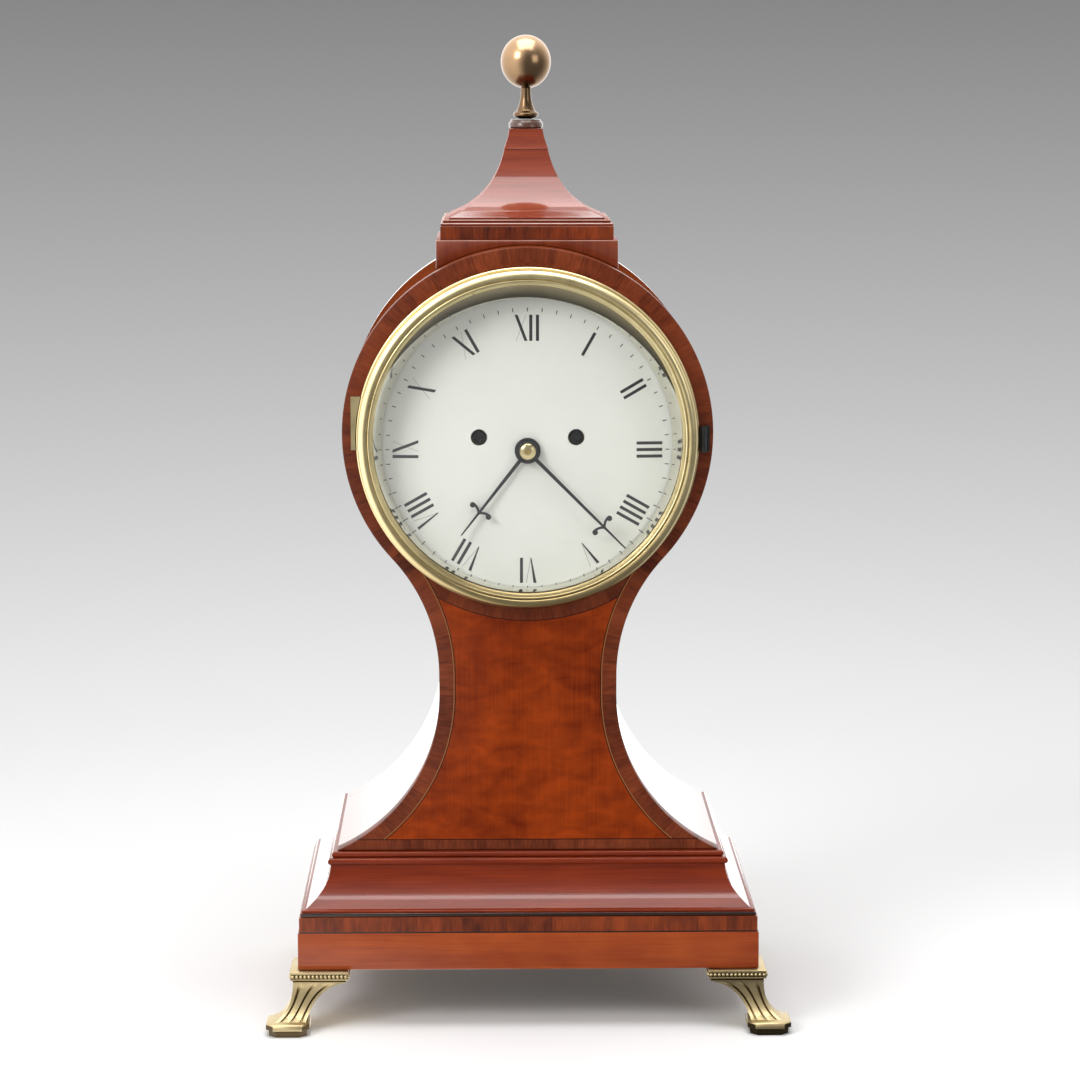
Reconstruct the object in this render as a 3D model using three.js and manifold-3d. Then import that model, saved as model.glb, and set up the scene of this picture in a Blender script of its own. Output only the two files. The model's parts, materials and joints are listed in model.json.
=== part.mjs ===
// Balloon mantel clock: a waisted wooden case on splayed brass feet, a hinged bezel over a domed dial,
// and a movement with a going train, a striking train and a short pendulum.
// Millimetres, +Z up, +X to the viewer's right. The dial faces -Y, and the origin is on the table, midway.
import * as THREE from 'three';
import { mergeVertices } from 'three/addons/utils/BufferGeometryUtils.js';
import Module from 'manifold-3d';

const wasm = await Module();
wasm.setup();

// Clearances
const FIT = 0.3;
const RUN = 0.35;

// Feet: a square plate, a fluted leg that splays outwards, and a square toe with its corners cut off
const FOOT_HEIGHT = 38;
const FOOT_PLATE = 38;
const FOOT_PLATE_HEIGHT = 5;
const FOOT_NECK_IN = 5;
const FOOT_NECK_OUT = 16.5;
const FOOT_NECK_HEIGHT = 4;
const FOOT_LAP = 5.6;
const FOOT_LIP = 1;
const LEG_WIDTH = 18;
const LEG_HEEL = 1.6;
const LEG_FACE = 14.5;
const LEG_FLUTES = 3;
const FLUTE_RADIUS = 1.9;
const TOE_HALF = 13.5;
const TOE_CHAMFER = 4.5;
const TOE_HEIGHT = 8.5;
const TOE_OUT = 19.3;
const REAR_TOE_OUT = 7;

// Base: plinth box, floor and cove moulding
const BASE_WIDTH = 287;
const BASE_DEPTH = 192;
const PLINTH_HEIGHT = 33;
const BAND_HEIGHT = 9.8;
const BAND_INSET = 0.9;
const PLINTH_WALL = 14;
const FLOOR_THICKNESS = 8;
const COVE_HEIGHT = 37;
const COVE_LIP_HEIGHT = 8;
const COVE_LIP_OUT = 4;
const COVE_BEAD_INSET = 1.8;
const COVE_FOOT_HEIGHT = 4.4;
const COVE_FOOT_INSET = 5.3;
const COVE_FLARE = 7.6;
const COVE_WALL = 9;
const BASE_OVERHANG = 24;
const BACK_OVERHANG = 6;

// Case: a round head on a waist that sweeps out to the base
const HEAD_RADIUS = 114.4;
const WAIST_HALF = 55.2;
const SWEEP_RADIUS = 108.5;
const WAIST_STRAIGHT = 11.87;
const FRONT_THICKNESS = 12;
const SIDE_THICKNESS = 7;
const BACK_THICKNESS = 12;

// Back door and its fittings
const DOOR_INSET = 20;
const DOOR_SILL = 26;
const DOOR_THICKNESS = 8;
const DOOR_GAP = 0.8;
const KNUCKLE_RADIUS = 1.9;
const PIN_RADIUS = 0.9;
const LEAF_THICKNESS = 1.2;
const LEAF_WIDTH = 6.5;
const BEZEL_LEAF_WIDTH = 4;
const BEZEL_HINGE_HEIGHT = 16;
const DOOR_HINGE_HEIGHT = 48;
const TURN_LENGTH = 24;
const TURN_WIDTH = 8;
const TURN_THICKNESS = 3;
const TURN_PIVOT_RADIUS = 1.6;

// Cap: a block over the arch, a banded frieze, a concave roof and a neck
const CAP_HALF = 56.4;
const CAP_BLOCK_RISE = 3;
const FRIEZE_HALF = 53.6;
const FRIEZE_HEIGHT = 8;
const CAP_FILLET_HEIGHT = 4;
const CAP_FILLET_STEP = 3;
const ROOF_HALF = 47.5;
const ROOF_HEIGHT = 42;
const ROOF_HOLLOW = 0.72;
const NECK_FOOT_HALF = 13.6;
const NECK_TOP_HALF = 10.4;
const NECK_HEIGHT = 12.5;

// Finial: a collar, a flared foot, a stem and an egg-shaped ball
const COLLAR_RADIUS = 10.8;
const COLLAR_HEIGHT = 5.5;
const FINIAL_FOOT_RADIUS = 8;
const FINIAL_STEM_RADIUS = 3.2;
const FINIAL_STEM_HEIGHT = 19;
const FINIAL_BALL_RADIUS = 15.8;
const FINIAL_BALL_HEIGHT = 33.5;

// Bezel, glass and the ring that lines the dial opening
const BEZEL_DROP = 3;
const BEZEL_MARGIN = 8.6;
const BEZEL_BAND = 10.7;
const BEZEL_THICKNESS = 12.5;
const GLASS_THICKNESS = 2.5;
const GLASS_DOME = 12;
const GLASS_LAP = 1.9;
const GLASS_SEAT = 4;
const SIGHT_WALL = 1.9;
const SIGHT_TAPER = 5.3;
const CATCH_HEIGHT = 33;
const CATCH_WIDTH = 2.6;
const CATCH_RISE = 10;

// Dial and hands
const DIAL_DROP = 8;
const DIAL_LAP = 2;
const DIAL_THICKNESS = 1.6;
const DIAL_DOME = 6;
const DIAL_HOLE_RADIUS = 6;
const WINDING_HOLE_RADIUS = 5.1;
const DIAL_FOOT_RADIUS = 2.4;
const DIAL_FOOT_X = 50;
const DIAL_FOOT_LOW = -30;
const DIAL_FOOT_HIGH = 55;
const HAND_THICKNESS = 1.2;
const HAND_GAP = 2;
const HOUR_HAND_SHORT = 24.3;
const HOUR_CURL_TO_TIP = 18;
const HOUR_HAND_BOSS = 7.7;
const HOUR_HAND_ANGLE = 218;
const MINUTE_HAND_SHORT = 4.3;
const MINUTE_CURL_TO_TIP = 21;
const MINUTE_HAND_BOSS = 6.3;
const MINUTE_HAND_ANGLE = 135;
const HAND_ROOT_WIDTH = 2.6;
const HAND_TIP_WIDTH = 1.1;
const HAND_CURL_REACH = 6;
const HAND_CURL_BACK = 2.6;
const HAND_CURL_BALL = 1.6;
const COLLET_RADIUS = 5;
const COLLET_HEIGHT = 1.8;

// Movement frame, with places given from the hand centre
const DIAL_TO_PLATE = 18.4;
const PLATE_THICKNESS = 3;
const PLATE_GAP = 56;
const PLATE_HALF = 62;
const PLATE_TOP = 68;
const PLATE_BOTTOM = -70;
const PILLAR_RADIUS = 4;
const PILLAR_X = 54;
const PILLAR_LOW = -62;
const PILLAR_HIGH = 40;
const SEAT_THICKNESS = 12;
const BOLT_RADIUS = 2;
const BOLT_HEAD_RADIUS = 5;
const BOLT_HEAD_HEIGHT = 4;
const BOLT_SIDE_GAP = 9.2;

// Trains: tooth counts and arbor places
const ADDENDUM = 0.55;
const DEDENDUM = 0.95;
const ARBOR_RADIUS = 1;
const CENTRE_ARBOR_RADIUS = 1.5;
const FUSEE_ARBOR_RADIUS = 3;
const WHEEL_THICKNESS = 2;
const PINION_LENGTH = 4;
const GREAT_TEETH = 72;
const CENTRE_TEETH = 72;
const THIRD_TEETH = 65;
const ESCAPE_TEETH = 30;
const LEAVES = 6;
const CANNON_TEETH = 30;
const HOUR_TEETH = 72;
const STRIKE_GREAT_TEETH = 64;
const PIN_LEAVES = 8;
const PIN_TEETH = 56;
const HOOP_LEAVES = 7;
const HOOP_TEETH = 48;
const WARNING_TEETH = 42;
const LIFTING_PINS = 8;
const WINDING_X = 30;
const WINDING_Z = 8;
const THIRD_AT = [-10, 20.4];
const ESCAPE_AT = [0, 38.6];
const PALLET_AT = [0, 58.6];
const MINUTE_AT = [0, -18];
const PIN_AT = [-33, 31.6];
const HOOP_AT = [-20, 43.7];
const WARNING_AT = [-33, 53];
const FLY_AT = [-45, 62];
const HAMMER_AT = [-14, 62];
const ESCAPE_RADIUS = 13.5;
const BARREL_X = 32;
const BARREL_Z = -45;
const BARREL_RADIUS = 20;
const BARREL_LENGTH = 40;
const BARREL_FLANGE = 2;
const FUSEE_SMALL_RADIUS = 9;
const FUSEE_LARGE_RADIUS = 16;
const FUSEE_LENGTH = 20;
const FUSEE_TURNS = 4;
const LINE_RADIUS = 0.8;

// Pendulum
const PENDULUM_LENGTH = 211;
const ROD_RADIUS = 1.5;
const ROD_SETBACK = 12;
const BOB_RADIUS = 27;
const BOB_THICKNESS = 12;
const NUT_RADIUS = 4;
const NUT_HEIGHT = 5;
const SPRING_WIDTH = 5;
const SPRING_THICKNESS = 0.5;
const COCK_WIDTH = 22;
const COCK_HEIGHT = 7;

// Bell and hammer
const BELL_RADIUS = 33;
const BELL_HEIGHT = 28;
const BELL_WALL = 2;
const BELL_LIFT = 8;
const STAND_RADIUS = 2.5;
const HAMMER_HEAD_RADIUS = 4;
const HAMMER_HEAD_LENGTH = 9;
const HAMMER_ARM = 2;
const HAMMER_GAP = 0.6;

// Places that follow from the sizes above
const PLINTH_Z = FOOT_HEIGHT;
const COVE_Z = PLINTH_Z + PLINTH_HEIGHT + FIT;
const CASE_Z = COVE_Z + COVE_HEIGHT;
const FRONT_Y = -BASE_DEPTH / 2 + BASE_OVERHANG;
const BACK_Y = BASE_DEPTH / 2 - BACK_OVERHANG;
const MID_Y = (FRONT_Y + BACK_Y) / 2;
const FOOT_HALF = BASE_WIDTH / 2 - BASE_OVERHANG;
const SWEEP_X = WAIST_HALF + SWEEP_RADIUS;
const SWEEP_LOW_Z = CASE_Z + Math.sqrt(SWEEP_RADIUS ** 2 - (SWEEP_X - FOOT_HALF) ** 2);
const SWEEP_HIGH_Z = SWEEP_LOW_Z + WAIST_STRAIGHT;
const HEAD_Z = SWEEP_HIGH_Z + Math.sqrt((HEAD_RADIUS + SWEEP_RADIUS) ** 2 - SWEEP_X ** 2);
const BEZEL_Z = HEAD_Z - BEZEL_DROP;
const DIAL_Z = BEZEL_Z - DIAL_DROP;
const INNER_Y = FRONT_Y + FRONT_THICKNESS;
const BEZEL_Y = FRONT_Y - FIT;
const BEZEL_RADIUS = HEAD_RADIUS - BEZEL_MARGIN;
const BEZEL_INNER = BEZEL_RADIUS - BEZEL_BAND;
const SIGHT_INNER = BEZEL_INNER - SIGHT_TAPER;
const SIGHT_OUTER = BEZEL_INNER + SIGHT_WALL;
const DIAL_RADIUS = SIGHT_INNER + DIAL_DROP + DIAL_LAP;
const HOUR_HAND_LENGTH = SIGHT_INNER - HOUR_HAND_SHORT;
const HOUR_HAND_CURL = HOUR_HAND_LENGTH - HOUR_CURL_TO_TIP;
const MINUTE_HAND_LENGTH = SIGHT_INNER - MINUTE_HAND_SHORT;
const MINUTE_HAND_CURL = MINUTE_HAND_LENGTH - MINUTE_CURL_TO_TIP;
const DIAL_STANDOFF = DIAL_DOME * (1 - ((SIGHT_INNER - DIAL_DROP) / DIAL_RADIUS) ** 2);
const DIAL_Y = INNER_Y + FIT + DIAL_STANDOFF;
const PLATE_Y = DIAL_Y + DIAL_TO_PLATE;
const TRAIN_Y = PLATE_Y + PLATE_THICKNESS;
const BACK_PLATE_Y = TRAIN_Y + PLATE_GAP;
const MOVEMENT_BACK_Y = BACK_PLATE_Y + PLATE_THICKNESS;
const ROD_Y = MOVEMENT_BACK_Y + ROD_SETBACK;

// Shaping helpers

// A closed solid from a geometry: shared corners merged, slivers dropped, faces turned outwards.
function solid(geometry) {
  const bare = geometry.clone();
  bare.deleteAttribute('normal');
  bare.deleteAttribute('uv');
  const merged = mergeVertices(bare, 1e-4);
  const points = merged.attributes.position;
  const corner = [new THREE.Vector3(), new THREE.Vector3(), new THREE.Vector3()];
  const triangles = [];
  let volume = 0;
  for (let i = 0; i < merged.index.count; i += 3) {
    const ids = [0, 1, 2].map((k) => merged.index.getX(i + k));
    if (new Set(ids).size < 3) continue;
    ids.forEach((id, k) => corner[k].fromBufferAttribute(points, id));
    volume += corner[0].dot(corner[1].clone().cross(corner[2]));
    triangles.push(ids);
  }
  const turned = volume < 0 ? triangles.map(([a, b, c]) => [a, c, b]) : triangles;
  return new wasm.Manifold(new wasm.Mesh({
    numProp: 3,
    vertProperties: Float32Array.from(points.array),
    triVerts: Uint32Array.from(turned.flat()),
  }));
}

function join(first, ...others) {
  return others.reduce((whole, piece) => whole.add(piece), first);
}

function cut(first, ...others) {
  return others.reduce((whole, piece) => whole.subtract(piece), first);
}

function geometryOf(body) {
  const mesh = body.getMesh();
  const geometry = new THREE.BufferGeometry();
  geometry.setAttribute('position', new THREE.BufferAttribute(Float32Array.from(mesh.vertProperties), 3));
  geometry.setIndex(new THREE.BufferAttribute(Uint32Array.from(mesh.triVerts), 1));
  return geometry;
}

// Points along a circle in the X-Z plane, from one angle to another, in degrees.
function arc(x, z, radius, from, to, steps) {
  const points = [];
  for (let i = 0; i <= steps; i += 1) {
    const angle = THREE.MathUtils.degToRad(from + ((to - from) * i) / steps);
    points.push(new THREE.Vector2(x + radius * Math.cos(angle), z + radius * Math.sin(angle)));
  }
  return points;
}

function circle(x, z, radius, steps) {
  return arc(x, z, radius, 0, 360 - 360 / steps, steps - 1);
}

// An outline in the X-Z plane, with holes, made into a board between two Y places.
function board(outline, front, back, holes = []) {
  const shape = new THREE.Shape(outline);
  shape.holes = holes.map((hole) => new THREE.Path(hole));
  const geometry = new THREE.ExtrudeGeometry(shape, { depth: back - front, bevelEnabled: false });
  geometry.rotateX(Math.PI / 2);
  geometry.translate(0, back, 0);
  return solid(geometry);
}

function box(x0, x1, y0, y1, z0, z1) {
  const geometry = new THREE.BoxGeometry(x1 - x0, y1 - y0, z1 - z0);
  geometry.translate((x0 + x1) / 2, (y0 + y1) / 2, (z0 + z1) / 2);
  return solid(geometry);
}

// A round bar along Y.
function bar(x, z, radius, front, back, sides = 6) {
  const geometry = new THREE.CylinderGeometry(radius, radius, back - front, sides);
  geometry.translate(x, (front + back) / 2, z);
  return solid(geometry);
}

// A round bar along Z.
function post(x, y, radius, low, high, sides = 12) {
  const geometry = new THREE.CylinderGeometry(radius, radius, high - low, sides);
  geometry.rotateX(Math.PI / 2);
  geometry.translate(x, y, (low + high) / 2);
  return solid(geometry);
}

// A profile of [radius, Y] points turned about a line along Y.
function turned(x, z, profile, sides) {
  const points = profile.map(([radius, y]) => new THREE.Vector2(radius, y));
  const geometry = new THREE.LatheGeometry(points, sides);
  geometry.translate(x, 0, z);
  return solid(geometry);
}

// A profile of [radius, Z] points turned about a line along Z.
function spun(x, y, profile, sides) {
  const points = profile.map(([radius, z]) => new THREE.Vector2(radius, z));
  const geometry = new THREE.LatheGeometry(points, sides);
  geometry.rotateX(Math.PI / 2);
  geometry.translate(x, y, 0);
  return solid(geometry);
}

// Rectangles [x0, x1, y0, y1, z] bridged one to the next: a ring if closed, else a block with end faces.
function loft(levels, closed) {
  const positions = [];
  const index = [];
  levels.forEach(([x0, x1, y0, y1, z]) => {
    positions.push(x0, y0, z, x1, y0, z, x1, y1, z, x0, y1, z);
  });
  const count = closed ? levels.length : levels.length - 1;
  for (let level = 0; level < count; level += 1) {
    const low = level * 4;
    const high = ((level + 1) % levels.length) * 4;
    for (let side = 0; side < 4; side += 1) {
      const next = (side + 1) % 4;
      index.push(low + side, low + next, high + next, low + side, high + next, high + side);
    }
  }
  if (!closed) {
    const top = (levels.length - 1) * 4;
    index.push(0, 2, 1, 0, 3, 2, top, top + 1, top + 2, top, top + 2, top + 3);
  }
  const geometry = new THREE.BufferGeometry();
  geometry.setAttribute('position', new THREE.Float32BufferAttribute(positions, 3));
  geometry.setIndex(index);
  return solid(geometry);
}

// The finished group, and the colours of its materials
const clock = new THREE.Group();
const movement = new THREE.Group();
movement.position.z = DIAL_Z;
clock.add(movement);

const FINISHES = {
  mahogany: { color: 0x8a3f1c, roughness: 0.3, metalness: 0 },
  kingwood: { color: 0x54240f, roughness: 0.3, metalness: 0 },
  oak: { color: 0x8b6a44, roughness: 0.7, metalness: 0 },
  brass: { color: 0xb89a5a, roughness: 0.3, metalness: 1 },
  bronze: { color: 0x8a5a2c, roughness: 0.35, metalness: 1 },
  steel: { color: 0x5d6066, roughness: 0.35, metalness: 1 },
  blackened: { color: 0x17171a, roughness: 0.4, metalness: 0.6 },
  enamel: { color: 0xe4e6de, roughness: 0.35, metalness: 0 },
  glass: { color: 0xf4f8f6, roughness: 0.05, metalness: 0 },
  gut: { color: 0xb08d57, roughness: 0.6, metalness: 0 },
};

function add(name, finish, body, parent = clock) {
  const mesh = new THREE.Mesh(geometryOf(body), new THREE.MeshStandardMaterial(FINISHES[finish]));
  mesh.name = name;
  parent.add(mesh);
}

// Feet
const footX = BASE_WIDTH / 2 + FOOT_LAP - FOOT_PLATE / 2;
const footY = BASE_DEPTH / 2 + FOOT_LAP - FOOT_PLATE / 2;
const footTop = FOOT_HEIGHT - FIT;
const legTop = footTop - FOOT_PLATE_HEIGHT - FOOT_NECK_HEIGHT;
const ankle = TOE_HEIGHT * 0.8;
const toeY = BASE_DEPTH / 2 + TOE_OUT - TOE_HALF - footY;

// The leg seen from its side: outward distance along its splay, then height.
function legOutline(reach) {
  const shape = new THREE.Shape();
  shape.moveTo(LEG_HEEL, legTop + FOOT_NECK_HEIGHT / 2);
  shape.lineTo(LEG_HEEL, legTop);
  shape.quadraticCurveTo(reach * 0.44, legTop * 0.82, reach - TOE_HALF * 0.67, ankle);
  shape.lineTo(reach + TOE_HALF * 0.25, ankle);
  shape.quadraticCurveTo(reach * 0.48, legTop * 0.5, LEG_FACE, legTop);
  shape.lineTo(LEG_FACE, legTop + FOOT_NECK_HEIGHT / 2);
  return shape;
}

// The toe seen from above: a square with its corners cut off.
function toeBlock() {
  const flat = TOE_HALF - TOE_CHAMFER;
  const shape = new THREE.Shape([
    new THREE.Vector2(TOE_HALF, -flat),
    new THREE.Vector2(TOE_HALF, flat),
    new THREE.Vector2(flat, TOE_HALF),
    new THREE.Vector2(-flat, TOE_HALF),
    new THREE.Vector2(-TOE_HALF, flat),
    new THREE.Vector2(-TOE_HALF, -flat),
    new THREE.Vector2(-flat, -TOE_HALF),
    new THREE.Vector2(flat, -TOE_HALF),
  ]);
  return new THREE.ExtrudeGeometry(shape, { depth: TOE_HEIGHT, bevelEnabled: false });
}

// The rear feet splay less to the sides than the front ones, so that the plinth hides them from in front.
function foot(sideX, sideY, toeOut) {
  const toeX = BASE_WIDTH / 2 + toeOut - TOE_HALF - footX;
  const reach = Math.hypot(toeX, toeY);
  const plate = box(-FOOT_PLATE / 2, FOOT_PLATE / 2, -FOOT_PLATE / 2, FOOT_PLATE / 2,
    footTop - FOOT_PLATE_HEIGHT, footTop);
  const lip = FOOT_PLATE / 2 - FOOT_LIP;
  const neckSpan = (side) => (side > 0 ? [-FOOT_NECK_IN, FOOT_NECK_OUT] : [-FOOT_NECK_OUT, FOOT_NECK_IN]);
  const neckPlan = [...neckSpan(sideX), ...neckSpan(sideY)];
  const neckTop = footTop - FOOT_PLATE_HEIGHT + FIT;
  const neck = loft([
    [...neckPlan, legTop],
    [...neckPlan, legTop + FOOT_NECK_HEIGHT / 2],
    [-lip, lip, -lip, lip, neckTop],
  ], false);
  const side = new THREE.ExtrudeGeometry(legOutline(reach), {
    depth: LEG_WIDTH, bevelEnabled: false, curveSegments: 5,
  });
  side.rotateX(Math.PI / 2);
  side.translate(0, LEG_WIDTH / 2, 0);
  const flutes = [];
  for (let i = 0; i < LEG_FLUTES; i += 1) {
    const across = ((i + 0.5) / LEG_FLUTES - 0.5) * LEG_WIDTH;
    const path = new THREE.QuadraticBezierCurve3(
      new THREE.Vector3(reach + TOE_HALF * 0.25, across, ankle),
      new THREE.Vector3(reach * 0.48, across, legTop * 0.5),
      new THREE.Vector3(LEG_FACE, across, legTop),
    );
    const ring = new THREE.Shape(circle(0, 0, FLUTE_RADIUS, 6));
    flutes.push(solid(new THREE.ExtrudeGeometry(ring, { steps: 4, extrudePath: path, bevelEnabled: false })));
  }
  const leg = cut(solid(side), ...flutes);
  const toe = solid(toeBlock()).translate([sideX * toeX, sideY * toeY, 0]);
  const splay = THREE.MathUtils.radToDeg(Math.atan2(sideY * toeY, sideX * toeX));
  return join(plate, neck, leg.rotate([0, 0, splay]), toe).translate([sideX * footX, sideY * footY, 0]);
}

add('foot_front_left', 'brass', foot(-1, -1, TOE_OUT));
add('foot_front_right', 'brass', foot(1, -1, TOE_OUT));
add('foot_rear_left', 'brass', foot(-1, 1, REAR_TOE_OUT));
add('foot_rear_right', 'brass', foot(1, 1, REAR_TOE_OUT));

// Base: each level of the moulding is a rectangle set in from the plinth's faces
const halfWidth = BASE_WIDTH / 2;
const halfDepth = BASE_DEPTH / 2;

function baseLevel(inset, z) {
  const backInset = (inset * BACK_OVERHANG) / BASE_OVERHANG;
  return [-halfWidth + inset, halfWidth - inset, -halfDepth + inset, halfDepth - backInset, z];
}

function plinthLevel(inset, z) {
  return [-halfWidth + inset, halfWidth - inset, -halfDepth + inset, halfDepth - inset, z];
}

add('base_plinth', 'mahogany', loft([
  plinthLevel(0, PLINTH_Z),
  plinthLevel(0, PLINTH_Z + PLINTH_HEIGHT - BAND_HEIGHT),
  plinthLevel(BAND_INSET, PLINTH_Z + PLINTH_HEIGHT - BAND_HEIGHT),
  plinthLevel(BAND_INSET, PLINTH_Z + PLINTH_HEIGHT),
  plinthLevel(PLINTH_WALL, PLINTH_Z + PLINTH_HEIGHT),
  plinthLevel(PLINTH_WALL, PLINTH_Z),
], true));

add('base_bottom_board', 'oak', loft([
  plinthLevel(PLINTH_WALL + FIT, PLINTH_Z),
  plinthLevel(PLINTH_WALL + FIT, PLINTH_Z + FLOOR_THICKNESS),
], false));

const coveTop = CASE_Z - FIT;
const lipInset = BASE_OVERHANG - COVE_LIP_OUT;
const coveLevels = [
  baseLevel(COVE_BEAD_INSET, COVE_Z),
  baseLevel(COVE_BEAD_INSET, COVE_Z + COVE_FOOT_HEIGHT / 2),
];
const coveLow = COVE_Z + COVE_FOOT_HEIGHT;
const coveHigh = coveTop - COVE_LIP_HEIGHT;
const COVE_STEPS = 7;
const cove = new THREE.QuadraticBezierCurve(
  new THREE.Vector2(COVE_FOOT_INSET, coveLow),
  new THREE.Vector2(lipInset, coveLow + COVE_FLARE),
  new THREE.Vector2(lipInset, coveHigh),
);
cove.getPoints(COVE_STEPS).forEach((p) => coveLevels.push(baseLevel(p.x, p.y)));
coveLevels.push(
  baseLevel(lipInset - COVE_LIP_OUT / 3, coveHigh + COVE_LIP_HEIGHT / 4),
  baseLevel(lipInset - COVE_LIP_OUT / 3, coveHigh + COVE_LIP_HEIGHT / 2),
  baseLevel(BASE_OVERHANG - COVE_LIP_OUT / 2, coveTop),
  baseLevel(BASE_OVERHANG + COVE_WALL, coveTop),
  baseLevel(BASE_OVERHANG + COVE_WALL, COVE_Z),
);
add('base_moulding', 'mahogany', loft(coveLevels, true));

// Case outline: half of it from the top of the head down to the foot, moved inwards by an inset
const tangent = THREE.MathUtils.radToDeg(Math.atan2(HEAD_Z - SWEEP_HIGH_Z, SWEEP_X));
const HEAD_STEPS = 20;
const SWEEP_STEPS = 8;

function halfOutline(inset, footZ, topAngle) {
  const sweep = SWEEP_RADIUS + inset;
  const footTurn = THREE.MathUtils.radToDeg(Math.asin((SWEEP_LOW_Z - footZ) / sweep));
  return [
    ...arc(0, HEAD_Z, HEAD_RADIUS - inset, topAngle, -tangent, HEAD_STEPS),
    ...arc(SWEEP_X, SWEEP_HIGH_Z, sweep, 180 - tangent, 180, SWEEP_STEPS).slice(1),
    ...arc(SWEEP_X, SWEEP_LOW_Z, sweep, 180, 180 + footTurn, SWEEP_STEPS + 2),
  ];
}

function mirrored(points) {
  return points.map((point) => new THREE.Vector2(-point.x, point.y)).reverse();
}

function caseOutline(inset, footZ) {
  const right = halfOutline(inset, footZ, 90);
  return [...right, ...mirrored(right.slice(1))];
}

// Front board with the round opening for the dial
const APERTURE = SIGHT_OUTER + FIT;
add('case_front', 'mahogany', board(
  caseOutline(0, CASE_Z), FRONT_Y, INNER_Y, [circle(0, BEZEL_Z, APERTURE, 48)],
));

// Bent sides, each from the middle of the arch down to the base
const sideFront = INNER_Y + FIT;
const sideBack = BACK_Y - BACK_THICKNESS - FIT;
const seam = 90 - THREE.MathUtils.radToDeg(FIT / 2 / (HEAD_RADIUS - SIDE_THICKNESS));
const sideOutline = [
  ...halfOutline(0, CASE_Z, seam),
  ...halfOutline(SIDE_THICKNESS, CASE_Z, seam).reverse(),
];
add('case_side_right', 'mahogany', board(sideOutline, sideFront, sideBack));
add('case_side_left', 'mahogany', board(mirrored(sideOutline), sideFront, sideBack));

// Back board and its door, which share one outline with a gap between them
const doorFoot = CASE_Z + DOOR_SILL;
const doorFront = BACK_Y - DOOR_THICKNESS;
add('case_back', 'oak', cut(
  board(caseOutline(0, CASE_Z), BACK_Y - BACK_THICKNESS, BACK_Y),
  board(caseOutline(DOOR_INSET, doorFoot), BACK_Y - BACK_THICKNESS * 2, BACK_Y + BACK_THICKNESS),
));

// A hinge: the fixed half is a leaf with two knuckles and the pin, the moving half one knuckle between them
const leafGap = FIT + LEAF_THICKNESS + FIT + KNUCKLE_RADIUS;

function hingeFixed(x, y, z, height, facing, leafWidth) {
  const half = height / 2;
  const third = height / 6;
  const leafNear = y + facing * (KNUCKLE_RADIUS + FIT);
  const leafFar = leafNear + facing * LEAF_THICKNESS;
  const leaf = box(x, x + leafWidth, Math.min(leafNear, leafFar), Math.max(leafNear, leafFar),
    z - half, z + half);
  const pin = post(x, y, PIN_RADIUS, z - half, z + half);
  const knuckles = [-1, 1].flatMap((end) => {
    const low = Math.min(z + end * (third + FIT), z + end * half);
    const high = Math.max(z + end * (third + FIT), z + end * half);
    const web = box(x, x + KNUCKLE_RADIUS, Math.min(y, leafFar), Math.max(y, leafFar), low, high);
    return [post(x, y, KNUCKLE_RADIUS, low, high), web];
  });
  return join(leaf, pin, ...knuckles);
}

function hingeMoving(x, y, z, height, armX, armFar, body) {
  const third = height / 6;
  const knuckle = post(x, y, KNUCKLE_RADIUS, z - third, z + third);
  const arm = box(armX, x, Math.min(y - KNUCKLE_RADIUS, armFar), Math.max(y - KNUCKLE_RADIUS, armFar),
    z - third, z + third);
  const bore = post(x, y, PIN_RADIUS + RUN, z - height, z + height);
  return cut(join(body, knuckle, arm), bore);
}

// Back door, hung on the viewer's right, with its turn button on the left
const doorEdge = HEAD_RADIUS - DOOR_INSET;
const doorHingeX = doorEdge + DOOR_GAP;
const doorHingeY = BACK_Y + leafGap;
const door = board(caseOutline(DOOR_INSET + DOOR_GAP, doorFoot + DOOR_GAP), doorFront, BACK_Y);
const strapHalf = DOOR_HINGE_HEIGHT / 6;
const strapEnd = doorEdge - LEAF_WIDTH * 2;
const strapFoot = box(strapEnd, strapEnd + LEAF_WIDTH, BACK_Y - FIT, doorHingeY + KNUCKLE_RADIUS,
  HEAD_Z - strapHalf, HEAD_Z + strapHalf);
const strapArm = box(strapEnd, doorHingeX, doorHingeY - KNUCKLE_RADIUS, doorHingeY + KNUCKLE_RADIUS,
  HEAD_Z - strapHalf, HEAD_Z + strapHalf);
const strapKnuckle = post(doorHingeX, doorHingeY, KNUCKLE_RADIUS, HEAD_Z - strapHalf, HEAD_Z + strapHalf);
const strapBore = post(doorHingeX, doorHingeY, PIN_RADIUS + RUN,
  HEAD_Z - strapHalf * 2, HEAD_Z + strapHalf * 2);
add('back_door', 'mahogany', cut(join(door, strapFoot, strapArm, strapKnuckle), strapBore));
add('back_door_hinge', 'brass', hingeFixed(
  doorHingeX, doorHingeY, HEAD_Z, DOOR_HINGE_HEIGHT, -1, LEAF_WIDTH,
));

const turnX = -doorEdge - TURN_WIDTH / 2 - DOOR_GAP - FIT;
const turnY = BACK_Y + FIT;
add('back_door_turn', 'brass', join(
  box(turnX - TURN_WIDTH / 2, turnX + TURN_WIDTH / 2, turnY, turnY + TURN_THICKNESS,
    HEAD_Z - TURN_LENGTH / 2, HEAD_Z + TURN_LENGTH / 2),
  bar(turnX, HEAD_Z, TURN_PIVOT_RADIUS, turnY, turnY + TURN_THICKNESS * 1.6, 12),
));

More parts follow.
